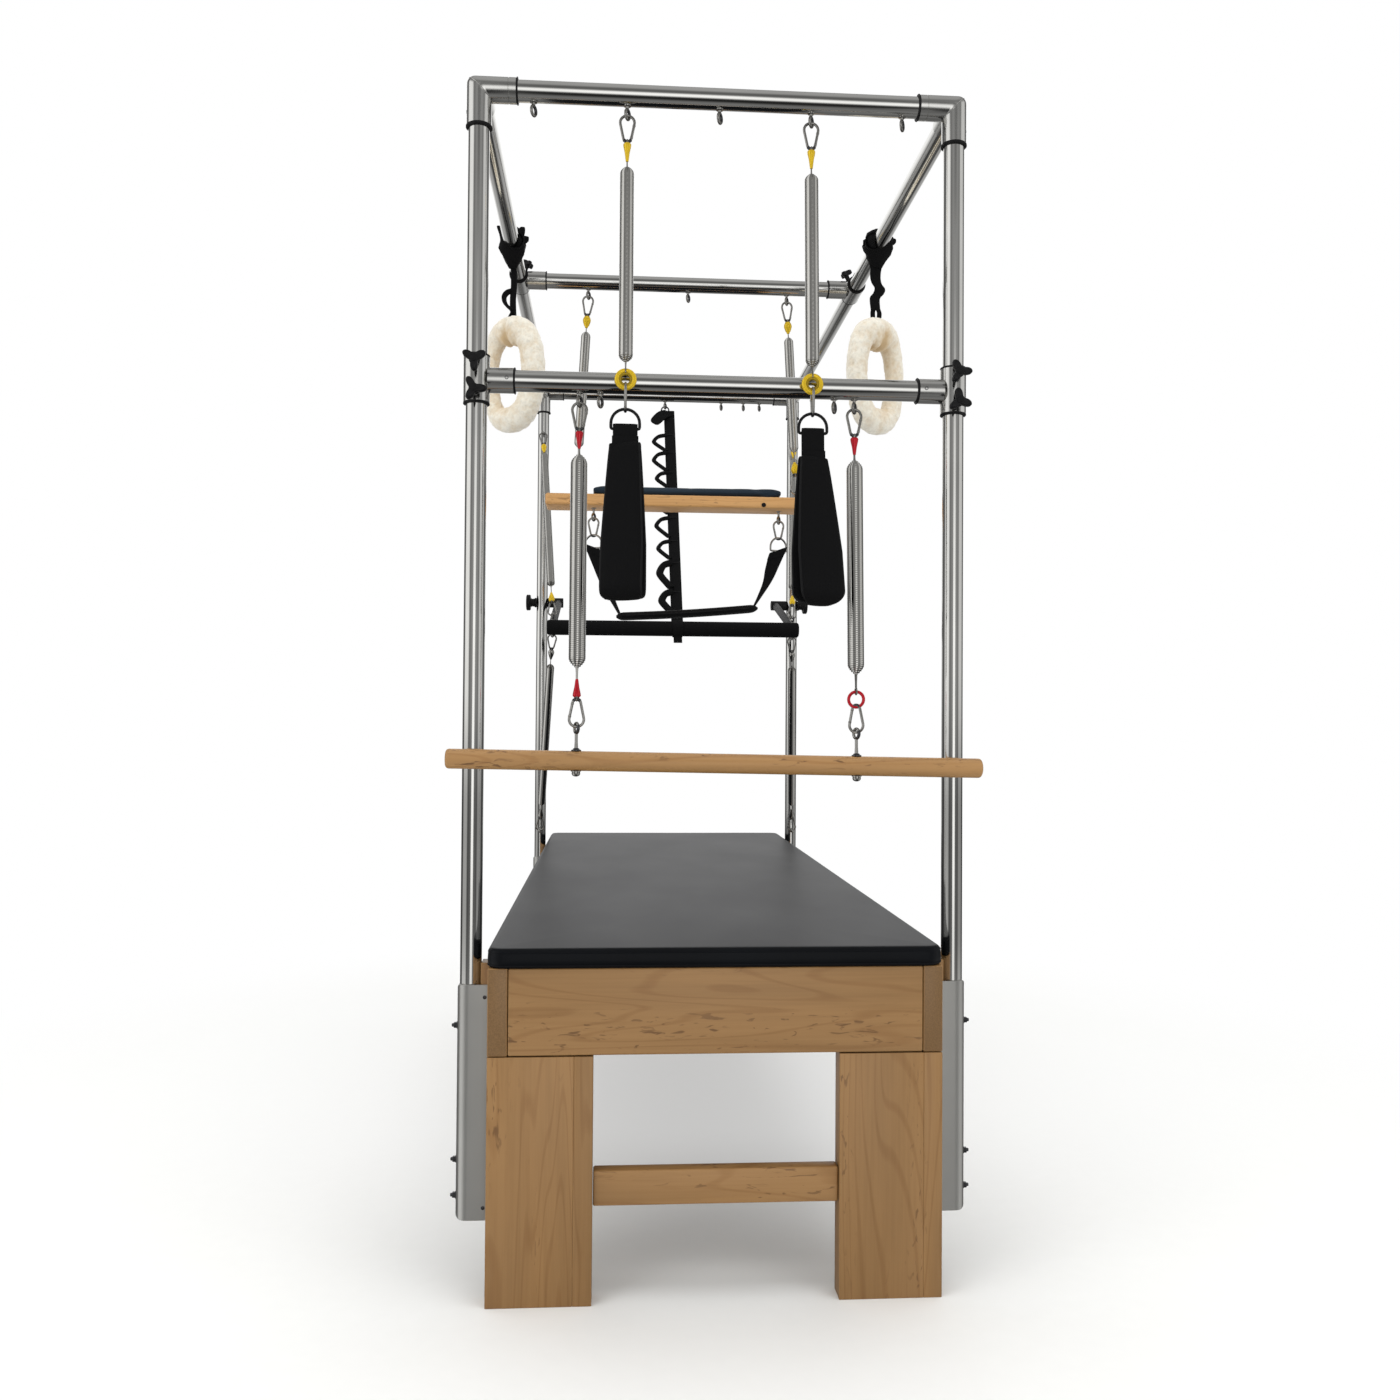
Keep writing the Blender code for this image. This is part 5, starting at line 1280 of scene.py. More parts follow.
def evenly(points, count):
    """A closed outline's points, set evenly along it."""
    points = rows(points)
    points = np.vstack((points, points[:1]))
    steps = np.linalg.norm(np.diff(points, axis=0), axis=1)
    reach = np.concatenate(([0], np.cumsum(steps)))
    places = np.linspace(0, reach[-1], count + 1)[:-1]
    return np.column_stack([np.interp(places, reach, points[:, axis]) for axis in range(3)])


def make_arm_springs():
    """The two springs in front of the bar, each with a hand loop on its lower ring."""
    eye_z = RAIL_Z - TUBE_RADIUS - EYE_DROP
    for sign, side in SIDES:
        top = Vector((sign * ARM_X, FRONT_Y, eye_z))
        lower = top + Matrix.Rotation(-ARM_TILT, 3, "X") @ Vector((0, 0, -ARM_RING_DROP))
        matrix = hanging(top, lower)
        shape = Shape()
        ends = spring(shape, matrix, ARM_RING_DROP, ARM_GAPS, 0.0128, sizes().light_wire,
                      "Yellow", (0.0074, 0.036, 0.10), "ring")
        fit_between(shape.build(side + "_arm_spring"), ("arm_coil_" + side, "hand_strap_" + side),
                    *ends, "spring_steel", "arm_spring_" + side)
        make_hand_loop(side, matrix)


def make_hand_loop(side, matrix):
    """A snap link, a black D-ring, a sewn tab and a padded loop."""
    tab_length, tab_width, length, turn, corner, lean, top_width, spread = HAND_SHAPES[side]
    link_length = 0.050
    d_height = 0.036
    link_top = -ARM_RING_DROP - ARM_RING + ARM_RING_WIRE + LINK_WIRE + 3 * CLEARANCE
    d_top = link_top - link_length + 2 * LINK_WIRE - LINK_SINK
    shape = Shape()
    snap_link(shape, matrix, link_top, link_length, plane="YZ")
    d_ring = swept(d_outline(d_top, 0.0255, d_height), LINK_WIRE * 1.1, 12, True)
    shape.put(d_ring, "Knob", matrix)
    tab_top = d_top - d_height + 2 * LINK_WIRE
    tab_low = tab_top - tab_length
    fold = [(0, -0.0036, tab_low), (0, -0.0038, tab_low + 0.012), (0, -0.0040, tab_top - 0.006),
            (0, -0.0032, tab_top), (0, 0, tab_top + 0.0036), (0, 0.0032, tab_top),
            (0, 0.0040, tab_top - 0.006), (0, 0.0038, tab_low + 0.012), (0, 0.0036, tab_low)]
    shape.put(strap(spline(fold, 34), tab_width, 0.0026, X_AXIS, crown=0.2), "Webbing Z", matrix)
    keeper = [(0, -0.0052, tab_low + 0.001), (0, -0.0056, tab_low + 0.012),
              (0, -0.0052, tab_low + 0.022)]
    shape.put(strap(keeper, tab_width + 0.003, 0.0024, X_AXIS), "Webbing X", matrix)
    depth, thickness = 0.021, 0.009
    outline = pear_outline(length, depth, thickness * 0.7, 41, 17)
    outer = [(0, -u, tab_low + thickness - length - v) for u, v in outline]
    path = evenly(outer, 160)
    rise = path[:, 2] - path[:, 2].min()
    share = 1 - rise / length
    path[:, 0] += lean * share * length
    widths = top_width + spread * np.clip((share - 0.03) / 0.62, 0, 1) ** 0.85
    rounding = np.clip(1 - rise / corner, 0, 1)
    widths -= 2 * corner * (1 - np.sqrt(np.clip(1 - rounding ** 2, 0, 1)))
    widths = np.maximum(widths, 0.030)
    place = matrix @ Matrix.Rotation(turn, 4, "Z")
    shape.put(strap(path, widths, thickness, X_AXIS, True, 0.6, 15), "Webbing Z", place)
    centre = np.array((lean * length / 2, 0, 0))
    spine = (path - centre) * np.array([1, 1.16, 1]) + centre + np.array([0, 0, -0.0009])
    shape.put(strap(spine, 0.028, 0.0030, X_AXIS, True, 0.1), "Webbing Z", place)
    for edge in (-1, 1):
        shift = np.outer(edge * (widths / 2 - 0.0006), X_AXIS)
        shape.put(swept(path + shift, 0.0023, 8, True), "Seal", place)
    fit(shape.build(side + "_hand_loop"), "hand_strap_" + side, ["hand_loop_" + side])


def make_roll_down():
    """A maple rod on two heavy springs, hung from the front bar to lean on it."""
    eye_z = COLLAR_Z - TUBE_RADIUS - EYE_DROP
    lean = asin((TUBE_RADIUS + ROLL_RADIUS + 2 * CLEARANCE) / ROLL_DROP)
    frame_matrix = Matrix.Translation((0, FRONT_Y, eye_z)) @ Matrix.Rotation(-lean, 4, "X")
    for sign, side in SIDES:
        drop = (ROLL_DROP - ROLL_RADIUS - ROLL_EYE_LIFT - ROLL_SHANK
                + sign * ROLL_X * sin(ROLL_SLOPE))
        shape = Shape()
        ends = spring(shape, frame_matrix @ Matrix.Translation((sign * ROLL_X, 0, 0)), drop,
                      ROLL_GAPS, 0.0152, sizes().heavy_wire, "Red", (0.0074, 0.034, 0.12),
                      "drop" if side == "left" else "hoop")
        fit_between(shape.build(side + "_roll_spring"), ("roll_coils", "roll_bar"), *ends,
                    "spring_steel", "roll_spring_" + side)
    slope = Matrix.Rotation(ROLL_SLOPE, 4, "Y")
    matrix = frame_matrix @ Matrix.Translation((0, 0, -ROLL_DROP)) @ slope
    shape = Shape()
    rod = turned(rounded_ends(ROLL_RADIUS, 2 * ROLL_HALF, 0.006, 6), ROUND_SIDES)
    shape.put(rod, "Maple X 9 118", matrix @ facing((-ROLL_HALF, 0, 0), X_AXIS))
    for sign in (-1, 1):
        x = sign * ROLL_X
        root = frame_matrix @ Vector((x, 0, -ROLL_DROP - x * sin(ROLL_SLOPE)))
        up = (frame_matrix.to_3x3() @ Z_AXIS).normalized()
        eyebolt(shape, root, up, ROLL_RADIUS, ROLL_EYE_LIFT + ROLL_SHANK)
        collar = turned([(0.0084, -0.001), (0.0090, 0.0004), (0.0088, 0.0018), (0.0064, 0.0026),
                         (0.0052, 0.0046), (0.0036, 0.0052)], 28)
        shape.put(collar, "Screw", facing(root + up * ROLL_RADIUS, up))
        nut = turned([(0.0085, 0), (0.0092, 0.0006), (0.0090, 0.0016), (0.0074, 0.0018),
                      (0.0076, 0.0060), (0.0062, 0.0086), (0.0030, 0.0102), (0.0001, 0.0106)], 24)
        shape.put(nut, "Hook", facing(root - up * (ROLL_RADIUS - 0.0004), -up))
    fit(shape.build("roll_down_rod"), "roll_bar", ["roll_down_bar"])


def make_trapeze():
    """A padded plank on two springs from the top bar, with its sling below."""
    eye_z = RAIL_Z - TUBE_RADIUS - EYE_DROP
    plank_low, plank_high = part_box("trapeze_plank")
    pad_low, pad_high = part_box("trapeze_pad")
    plank_top = pad_low.z - CLEARANCE
    plank_bottom = plank_top - PLANK_THICKNESS
    plank_length = plank_high.x - plank_low.x
    for sign, side in SIDES:
        top = Vector((sign * SLIDER_EYES[-1], TOP_SLIDER_Y, eye_z))
        low = Vector((sign * PLANK_EYE_X, TOP_SLIDER_Y, plank_top + EYE_DROP))
        shape = Shape()
        ends = spring(shape, hanging(top, low), (top - low).length, SWING_GAPS, 0.0122,
                      sizes().light_wire, "Yellow", (0.0104, 0.032, 0.38))
        fit_between(shape.build(side + "_trapeze_spring"), ("trapeze_coils", "trapeze"), *ends,
                    "spring_steel", "trapeze_spring_" + side)
    shape = Shape()
    centre = (0, TOP_SLIDER_Y, (plank_top + plank_bottom) / 2)
    plank = rounded_box((plank_length, PLANK_WIDTH, PLANK_THICKNESS), centre, 0.0055, 4)
    shape.put(plank, "Maple X 11 190")
    for sign in (-1, 1):
        eyebolt(shape, (sign * PLANK_EYE_X, TOP_SLIDER_Y, plank_top), Z_AXIS, 0)
        eyebolt(shape, (sign * SLING_X, TOP_SLIDER_Y, plank_bottom), -Z_AXIS, 0, SLING_EYE_DROP)
        for x in (sign * 0.195, sign * 0.294):
            head = turned([(0.0058, 0), (0.0056, 0.0016), (0.0040, 0.0026), (0.0001, 0.0028)], 24)
            place = (x, TOP_SLIDER_Y - PLANK_WIDTH / 2 + 0.0003, centre[2] - 0.0070)
            shape.put(head, "Knob", facing(place, -Y_AXIS))
    fit(shape.build("trapeze_board"), "trapeze", ["trapeze_plank"])
    make_trapeze_pad(pad_low, pad_high)
    make_sling(plank_bottom - SLING_EYE_DROP)


def make_trapeze_pad(low, high):
    """The plank's cushion, swelled by a short cloth simulation."""
    size = high - low
    shape = Shape()
    shape.put(rounded_box((size.x - 0.006, size.y - 0.006, size.z - 0.006), (low + high) / 2,
                          0.006, 4), "Pad")
    pad = shape.build("trapeze_cushion", 70)
    swell(pad, 0.0045, low, high)
    pad = fit(pad, "trapeze", ["trapeze_pad"])


def swell(obj, voxel, low, high):
    """Blow a pad up like cloth, by no more than a cap, and keep it near its box."""
    cap = 0.006
    skin = list(obj.data.materials)
    remesh = obj.modifiers.new("Even mesh", "REMESH")
    remesh.mode = "VOXEL"
    remesh.voxel_size = voxel
    apply_modifiers(obj)
    rest = np.array([tuple(v.co) for v in obj.data.vertices])
    cloth = obj.modifiers.new("Swell", "CLOTH")
    cloth.settings.quality = 6
    cloth.settings.mass = 0.3
    cloth.settings.use_pressure = True
    cloth.settings.uniform_pressure_force = 4
    cloth.settings.effector_weights.gravity = 0
    scene = bpy.context.scene
    for step in range(1, 21):
        scene.frame_set(step)
    apply_modifiers(obj)
    scene.frame_set(1)
    blown = np.array([tuple(v.co) for v in obj.data.vertices])
    move = blown - rest
    reach = np.linalg.norm(move, axis=1, keepdims=True)
    blown = rest + move * np.minimum(1, cap / np.maximum(reach, 1e-9))
    blown = np.clip(blown, np.array(low), np.array(high) + np.array((0, 0, 0.002)))
    obj.data.vertices.foreach_set("co", blown.ravel())
    obj.modifiers.new("Smooth", "SUBSURF").levels = 1
    apply_modifiers(obj)
    obj.data.materials.clear()
    for material in skin:
        obj.data.materials.append(material)
    obj.data.shade_smooth()


def apply_modifiers(obj):
    """Replace an object's mesh with what its modifiers make of it."""
    depsgraph = bpy.context.evaluated_depsgraph_get()
    mesh = bpy.data.meshes.new_from_object(obj.evaluated_get(depsgraph))
    old = obj.data
    obj.modifiers.clear()
    obj.data = mesh
    bpy.data.meshes.remove(old)


def make_sling(eye_z):
    """A padded band, a little askew, on two straps that turn as they taper."""
    top = -HOOK_DEPTH
    link_length = 0.047
    d_height = 0.034
    d_top = top - link_length + 2 * LINK_WIRE - LINK_SINK
    strap_top = d_top - d_height
    ends = {-1: Vector((-0.180, 0, -0.2560)), 1: Vector((0.186, 0, -0.2300))}
    shape = Shape()
    shift = Matrix.Translation((0, TOP_SLIDER_Y, eye_z))
    count = 60
    shares = np.linspace(0, 1, count)
    band = rows(ends[-1].lerp(ends[1], t) for t in shares)
    band[:, 2] -= 0.003 * np.sin(shares * pi)
    rim = np.minimum(shares, 1 - shares) * count / 3.5
    full = np.sqrt(np.clip(1 - np.clip(1 - rim, 0, 1) ** 2, 0.08, 1))
    shape.put(strap(band, 0.062 * full, 0.0205 * full, Y_AXIS, crown=0.75, columns=15),
              "Webbing X", shift)
    for edge in (-1, 1):
        seam = band[4:-4] + np.array((0, edge * 0.0300, 0))
        shape.put(swept(seam, 0.0016, 8), "Seal", shift)
    for sign in (-1, 1):
        hook = Vector((sign * SLING_X, 0, strap_top + 0.003))
        end = ends[sign] - X_AXIS * sign * 0.012
        bow = hook.lerp(end, 0.55) + Vector((sign * 0.006, 0, -0.004))
        path = spline([hook, hook.lerp(bow, 0.5), bow, end], 50)
        t = np.linspace(0, 1, 50)[:, None]
        across = (1 - t ** 3) * np.array((sign * 0.95, 0.20, 0.36)) + t ** 4 * np.array((0, 1, 0))
        across = unit(across)
        widths = np.interp(t[:, 0], (0, 0.1, 0.85, 1), (0.051, 0.052, 0.022, 0.020))
        shape.put(strap(path, widths, 0.0048, across, crown=0.2), "Webbing X", shift)
        cuff = path[:9] + np.array((0, -0.0030, 0))
        shape.put(strap(cuff, 0.052, 0.0026, across[:9]), "Webbing Z", shift)
        side_shift = Matrix.Translation((sign * SLING_X, TOP_SLIDER_Y, eye_z))
        snap_link(shape, side_shift, top, link_length)
        turned_shift = side_shift @ Matrix.Rotation(0.45 * sign, 4, "Z")
        d_ring = swept(d_outline(d_top, 0.0245, d_height), LINK_WIRE, 12, True)
        shape.put(d_ring, "Hook", turned_shift)
    fit(shape.build("trapeze_band"), "trapeze_sling", ["sling"])


# Push-through bar

def make_push_bar():
    """The bar with its arms, bosses, grip, pivot knobs and four springs."""
    back = (PIVOT - PUSH_BAR).normalized()
    shape = Shape()
    rod = turned(rounded_ends(PUSH_BAR_RADIUS, 2 * PUSH_BAR_HALF, 0.002), ROUND_SIDES)
    shape.put(rod, "Lacquer", facing(PUSH_BAR - X_AXIS * PUSH_BAR_HALF, X_AXIS))
    arm_length = (PIVOT - PUSH_BAR).length + 0.016
    outer = POST_X - TUBE_RADIUS - CLEARANCE
    boss_length = outer - PUSH_ARM_X + PIVOT_BOSS_RADIUS
    for sign in (-1, 1):
        shift = X_AXIS * sign * PUSH_ARM_X
        arm = turned(rounded_ends(PUSH_ARM_RADIUS, arm_length, 0.010, 7), ROUND_SIDES)
        shape.put(arm, "Lacquer", facing(PUSH_BAR + shift, back))
        boss = turned(rounded_ends(PIVOT_BOSS_RADIUS, boss_length, 0.0016), ROUND_SIDES)
        shape.put(boss, "Lacquer", facing(PIVOT + X_AXIS * sign * outer, -X_AXIS * sign))
        root = PUSH_BAR + shift + back * PUSH_EYE_BACK
        for up in (1, -1):
            eyebolt(shape, root, Z_AXIS * up, PUSH_BAR_RADIUS)
    fit(shape.build("push_bar_tube"), "push_bar", ["push_bar_frame"])
    make_push_grip()
    for sign, side in SIDES:
        make_pivot_knob(sign, side)
    make_back_springs(back)


def make_push_grip():
    """The foam over the push-through bar, with round ends."""
    length = 2 * GRIP_HALF
    bore = 0.0145
    profile = [(bore, 0)] + rounded_ends(GRIP_RADIUS, length, 0.007, 6) + [(bore, length)]
    shape = Shape()
    shape.put(turned(profile, ROUND_SIDES), "Foam", facing(PUSH_BAR - X_AXIS * GRIP_HALF, X_AXIS))
    fit(shape.build("push_bar_foam"), "push_bar", ["push_bar_grip"])


def make_pivot_knob(sign, side):
    """A round ribbed knob on a flared neck outside a rear post, with its pin through the post."""
    face = POST_X + TUBE_RADIUS + CLEARANCE
    matrix = facing(PIVOT, X_AXIS * sign)
    neck = face + 0.020
    head = neck + 0.015
    profile = [(0.0155, face), (0.0165, face + 0.0014), (0.0165, face + 0.005),
               (0.0138, face + 0.0075), (0.0134, neck - 0.005), (0.0160, neck - 0.0005),
               (0.0246, neck), (0.0262, neck + 0.0018), (0.0266, neck + 0.0050),
               (0.0266, head - 0.0050), (0.0258, head - 0.0018), (0.0236, head - 0.0004),
               (0.0100, head - 0.0002), (0.0001, head)]
    shape = Shape()
    shape.put(turned(profile, ROUND_SIDES), "Knob", matrix)
    rib = turned(rounded_ends(0.0013, 0.0115, 0.0006), 8)
    for angle in round_angles(24):
        shift = Matrix.Translation((0.0258 * cos(angle), 0.0258 * sin(angle), neck + 0.0018))
        shape.put(rib, "Knob", matrix @ shift)
    pin = turned(rounded_ends(0.005, face - PUSH_ARM_X - 0.002, 0.0006), 24)
    shape.put(pin, "Hook", facing(PIVOT + X_AXIS * sign * (PUSH_ARM_X + 0.002), X_AXIS * sign))
    node = "push_bar_knob_" + side
    fit(shape.build(side + "_pivot_knob", 40), "pivot_knob_" + side, [node])


def make_back_springs(back):
    """The four springs between the rear posts and the push-through bar."""
    for sign, side in SIDES:
        arm_eye = PUSH_BAR + X_AXIS * sign * PUSH_ARM_X + back * PUSH_EYE_BACK
        lift = Z_AXIS * (PUSH_BAR_RADIUS + EYE_DROP)
        post_front = Vector((sign * POST_X, REAR_Y - TUBE_RADIUS - EYE_DROP, 0))
        upper = (post_front + Z_AXIS * UPPER_EYE_Z, arm_eye + lift, UPPER_GAPS, "Yellow")
        lower = (arm_eye - lift, post_front + Z_AXIS * LOWER_EYE_Z, LOWER_GAPS, "Hook")
        for level, (top, low, gaps, coat) in (("upper", upper), ("lower", lower)):
            shape = Shape()
            ends = spring(shape, hanging(top, low), (top - low).length, gaps, 0.0128,
                          sizes().light_wire, coat, (0.0098, 0.036, 0.30))
            if level == "lower":
                ends = (ends[1], ends[0])
            fit_between(shape.build(f"{side}_{level}_back_spring"),
                        ("table_frame", "push_bar"), *ends, "spring_steel",
                        f"push_bar_spring_{level}_{side}")


def make_safety_strap():
    """Webbing from the rear crossbar to the push-through bar, with a row of small loops."""
    hook = Vector((SAFETY_X - 0.014, REAR_Y, RAIL_Z - TUBE_RADIUS - EYE_DROP))
    top = Vector((SAFETY_X, REAR_Y, hook.z - EYE_RADIUS - 0.014))
    low = Vector((SAFETY_X + 0.012, PUSH_BAR.y, PUSH_BAR.z))
    away = (low - top).normalized()
    front = X_AXIS.cross(away).normalized()
    if front.y > 0:
        front = -front
    side = away.cross(front).normalized()
    if side.x > 0:
        side = -side
    end = low - away * (GRIP_RADIUS + 0.0022)
    width = SAFETY_WIDTH
    shape = Shape()
    eyebolt(shape, hook + Z_AXIS * (TUBE_RADIUS + EYE_DROP), -Z_AXIS)
    snap_link(shape, Matrix.Translation(hook), -HOOK_DEPTH, 0.030, kind="Screw")
    main = spline([top.lerp(end, t) for t in np.linspace(0, 1, 9)], 90)
    shape.put(strap(main, width, 0.0034, -side * 0.985 + front * 0.17), "Webbing Z")
    fold = [top + away * 0.016 + front * 0.003, top + away * 0.002 + front * 0.003,
            top - away * 0.006 - side * 0.002, top + away * 0.004 - front * 0.003]
    shape.put(strap(spline(fold, 20), width * 0.9, 0.0030, X_AXIS), "Webbing Z")
    edge = width / 2 - 0.003
    for i, (start, stop, reach) in enumerate(DAISY_LOOPS):
        a = top.lerp(end, start) + side * edge
        b = top.lerp(end, stop) + side * edge
        bulge = [a, a.lerp(b, 0.10) + side * reach * 0.62, a.lerp(b, 0.38) + side * reach,
                 a.lerp(b, 0.56) + side * reach * 0.86, a.lerp(b, 0.86) + side * reach * 0.28, b]
        girth, body = (0.013, 0.0125) if i < 6 else (0.020, 0.021)
        shape.put(strap(spline(bulge, 30), girth, body, front * 0.8 + X_AXIS * 0.6, crown=0.3),
                  "Webbing Z")
        stitches = [a - side * width * 0.8 + front * 0.0034, a + front * 0.0034]
        shape.put(strap(stitches, 0.0030, 0.0012, away), "Seal")
    reach = GRIP_RADIUS + 0.0018
    circle = [low + Y_AXIS * reach * cos(a) + Z_AXIS * reach * sin(a) for a in round_angles(48)]
    shape.put(strap(circle, width * 0.85, 0.0028, X_AXIS, closed=True), "Webbing X")
    tail = [low + away * (reach + step) for step in (0.001, 0.014, 0.026)]
    shape.put(strap(spline(tail, 16), width * 0.72, 0.0030, X_AXIS), "Webbing Z")
    flap = [top + away * 0.004 + front * 0.004, top + side * 0.026 + away * 0.022 + front * 0.010,
            top + side * 0.056 + away * 0.062 + front * 0.012]
    cross = (away * 0.62 - side * 0.78).normalized()
    widths = 0.040 * np.sqrt(np.clip(1 - np.linspace(-0.55, 0.96, 24) ** 6, 0.1, 1))
    shape.put(strap(spline(flap, 24), widths, 0.0036, cross, crown=0.2), "Webbing Z")
    fit_between(shape.build("daisy_strap"), ("table_frame", "push_bar"), top + away * 0.05,
                end - away * 0.05, "webbing", "safety_strap")


# Fleece loops

def make_fleece_loops():
    """A fleece loop on each of the top tubes."""
    for sign, side in SIDES:
        make_fleece_loop(sign, side)


def knot(shape, shift, side):
    """Webbing wrapped round the rail, with a gathered knot in front and its loose ears."""
    outer = TUBE_RADIUS + 0.0018
    tilt = Matrix.Rotation(0.16 if side == "left" else -0.30, 4, "Z")
    for y in (-0.041, -0.019, 0.003):
        circle = [(outer * cos(a), y, outer * sin(a)) for a in round_angles(40)]
        shape.put(strap(circle, 0.0225, 0.0034, Y_AXIS, closed=True), "Webbing X", shift @ tilt)
    # Rings of the knot's body: height, half width, half depth, and place along the rail
    girths = {"left": ((0.034, 0.0150, 0.0120, -0.030), (0.026, 0.0245, 0.0240, -0.026),
                       (0.014, 0.0290, 0.0310, -0.022), (0.001, 0.0305, 0.0320, -0.022),
                       (-0.012, 0.0300, 0.0310, -0.021), (-0.024, 0.0265, 0.0260, -0.018),
                       (-0.037, 0.0175, 0.0140, -0.010), (-0.052, 0.0085, 0.0055, -0.002)),
              "right": ((0.032, 0.0170, 0.0120, -0.030), (0.025, 0.0270, 0.0240, -0.026),
                        (0.014, 0.0330, 0.0310, -0.022), (0.001, 0.0350, 0.0320, -0.022),
                        (-0.012, 0.0330, 0.0310, -0.021), (-0.023, 0.0280, 0.0260, -0.018),
                        (-0.034, 0.0190, 0.0130, -0.010), (-0.046, 0.0140, 0.0050, -0.002))}
    rings = []
    for z, half_x, half_y, forward in girths[side]:
        angles = round_angles(48)
        fold = 1 + 0.09 * np.sin(angles * 5 + z * 160)
        rings.append([(half_x * f * np.sign(cos(a)) * abs(cos(a)) ** 0.8,
                       half_y * f * np.sign(sin(a)) * abs(sin(a)) ** 0.8 + forward, z)
                      for a, f in zip(angles, fold)])
    shape.put(skinned(rings), "Webbing X", shift)
    # Paths of its loose ears
    ears = {"left": (((-0.010, -0.034, 0.010), (-0.020, -0.036, 0.022), (-0.030, -0.036, 0.035)),
                     ((0.010, -0.034, 0.010), (0.019, -0.036, 0.022), (0.025, -0.036, 0.034)),
                     ((0.012, -0.028, 0.002), (0.026, -0.026, 0.007), (0.038, -0.022, 0.012))),
            "right": (((-0.008, -0.034, 0.010), (-0.013, -0.038, 0.018), (-0.012, -0.038, 0.029)),
                      ((0.014, -0.028, 0.000), (0.028, -0.028, 0.006), (0.040, -0.024, 0.010)),
                      ((0.012, -0.030, 0.016), (0.021, -0.030, 0.024), (0.028, -0.030, 0.030)),
                      ((-0.014, -0.028, 0.006), (-0.027, -0.026, 0.004), (-0.037, -0.024, 0.004)))}
    for points in ears[side]:
        upright = abs(points[-1][0]) < abs(points[-1][2]) * 1.1
        shape.put(strap(spline(points, 14), np.linspace(0.036, 0.011, 14), 0.0100,
                        X_AXIS if upright else Z_AXIS, crown=0.5), "Webbing X", shift)


def hanging_strap(shape, shift, side):
    """The webbing between knot and fleece: edge-on with a small loop, or face-on with a twist."""
    if side == "left":
        web = [(0.002, 0, -0.044), (0.003, 0.001, -0.090), (0.001, 0, -0.130), (0.003, 0, -0.176)]
        shape.put(strap(spline(web, 40), 0.0150, 0.0046, (0.93, 0.36, 0), crown=0.2),
                  "Webbing Z", shift)
        loop = [(0.001, 0.002, -0.104), (-0.012, 0.003, -0.108), (-0.020, 0.002, -0.119),
                (-0.018, 0.001, -0.134), (-0.008, 0, -0.146), (0.001, 0, -0.152)]
        shape.put(strap(spline(loop, 40), 0.0200, 0.0080, (0.25, 0.95, 0), crown=0.2),
                  "Webbing Z", shift)
        foot = [(-0.010, 0.001, -0.172), (0.001, 0, -0.156), (0.011, 0.001, -0.173)]
        shape.put(strap(spline(foot, 20), 0.0140, 0.0036, Y_AXIS, crown=0.2), "Webbing Z", shift)
        return
    path = spline([(0.001, 0, -0.036), (-0.002, 0, -0.064), (0.001, 0, -0.082),
                   (0.009, 0, -0.095), (0.006, 0, -0.107), (-0.003, 0, -0.120),
                   (-0.001, 0, -0.148)], 60)
    widths = np.interp(path[:, 2], (-0.148, -0.120, -0.100, -0.085, -0.04),
                       (0.025, 0.026, 0.028, 0.026, 0.029))
    shape.put(strap(path, widths, 0.0034, (0.97, 0.22, 0), crown=0.2), "Webbing Z", shift)
    for sign in (-1, 1):
        leg = [(sign * 0.0050 - 0.001, 0, -0.143), (sign * 0.0080, 0, -0.156),
               (sign * 0.0060, 0, -0.176)]
        shape.put(strap(spline(leg, 16), 0.0120, 0.0034, (0.97, 0.22, 0), crown=0.2),
                  "Webbing Z", shift)


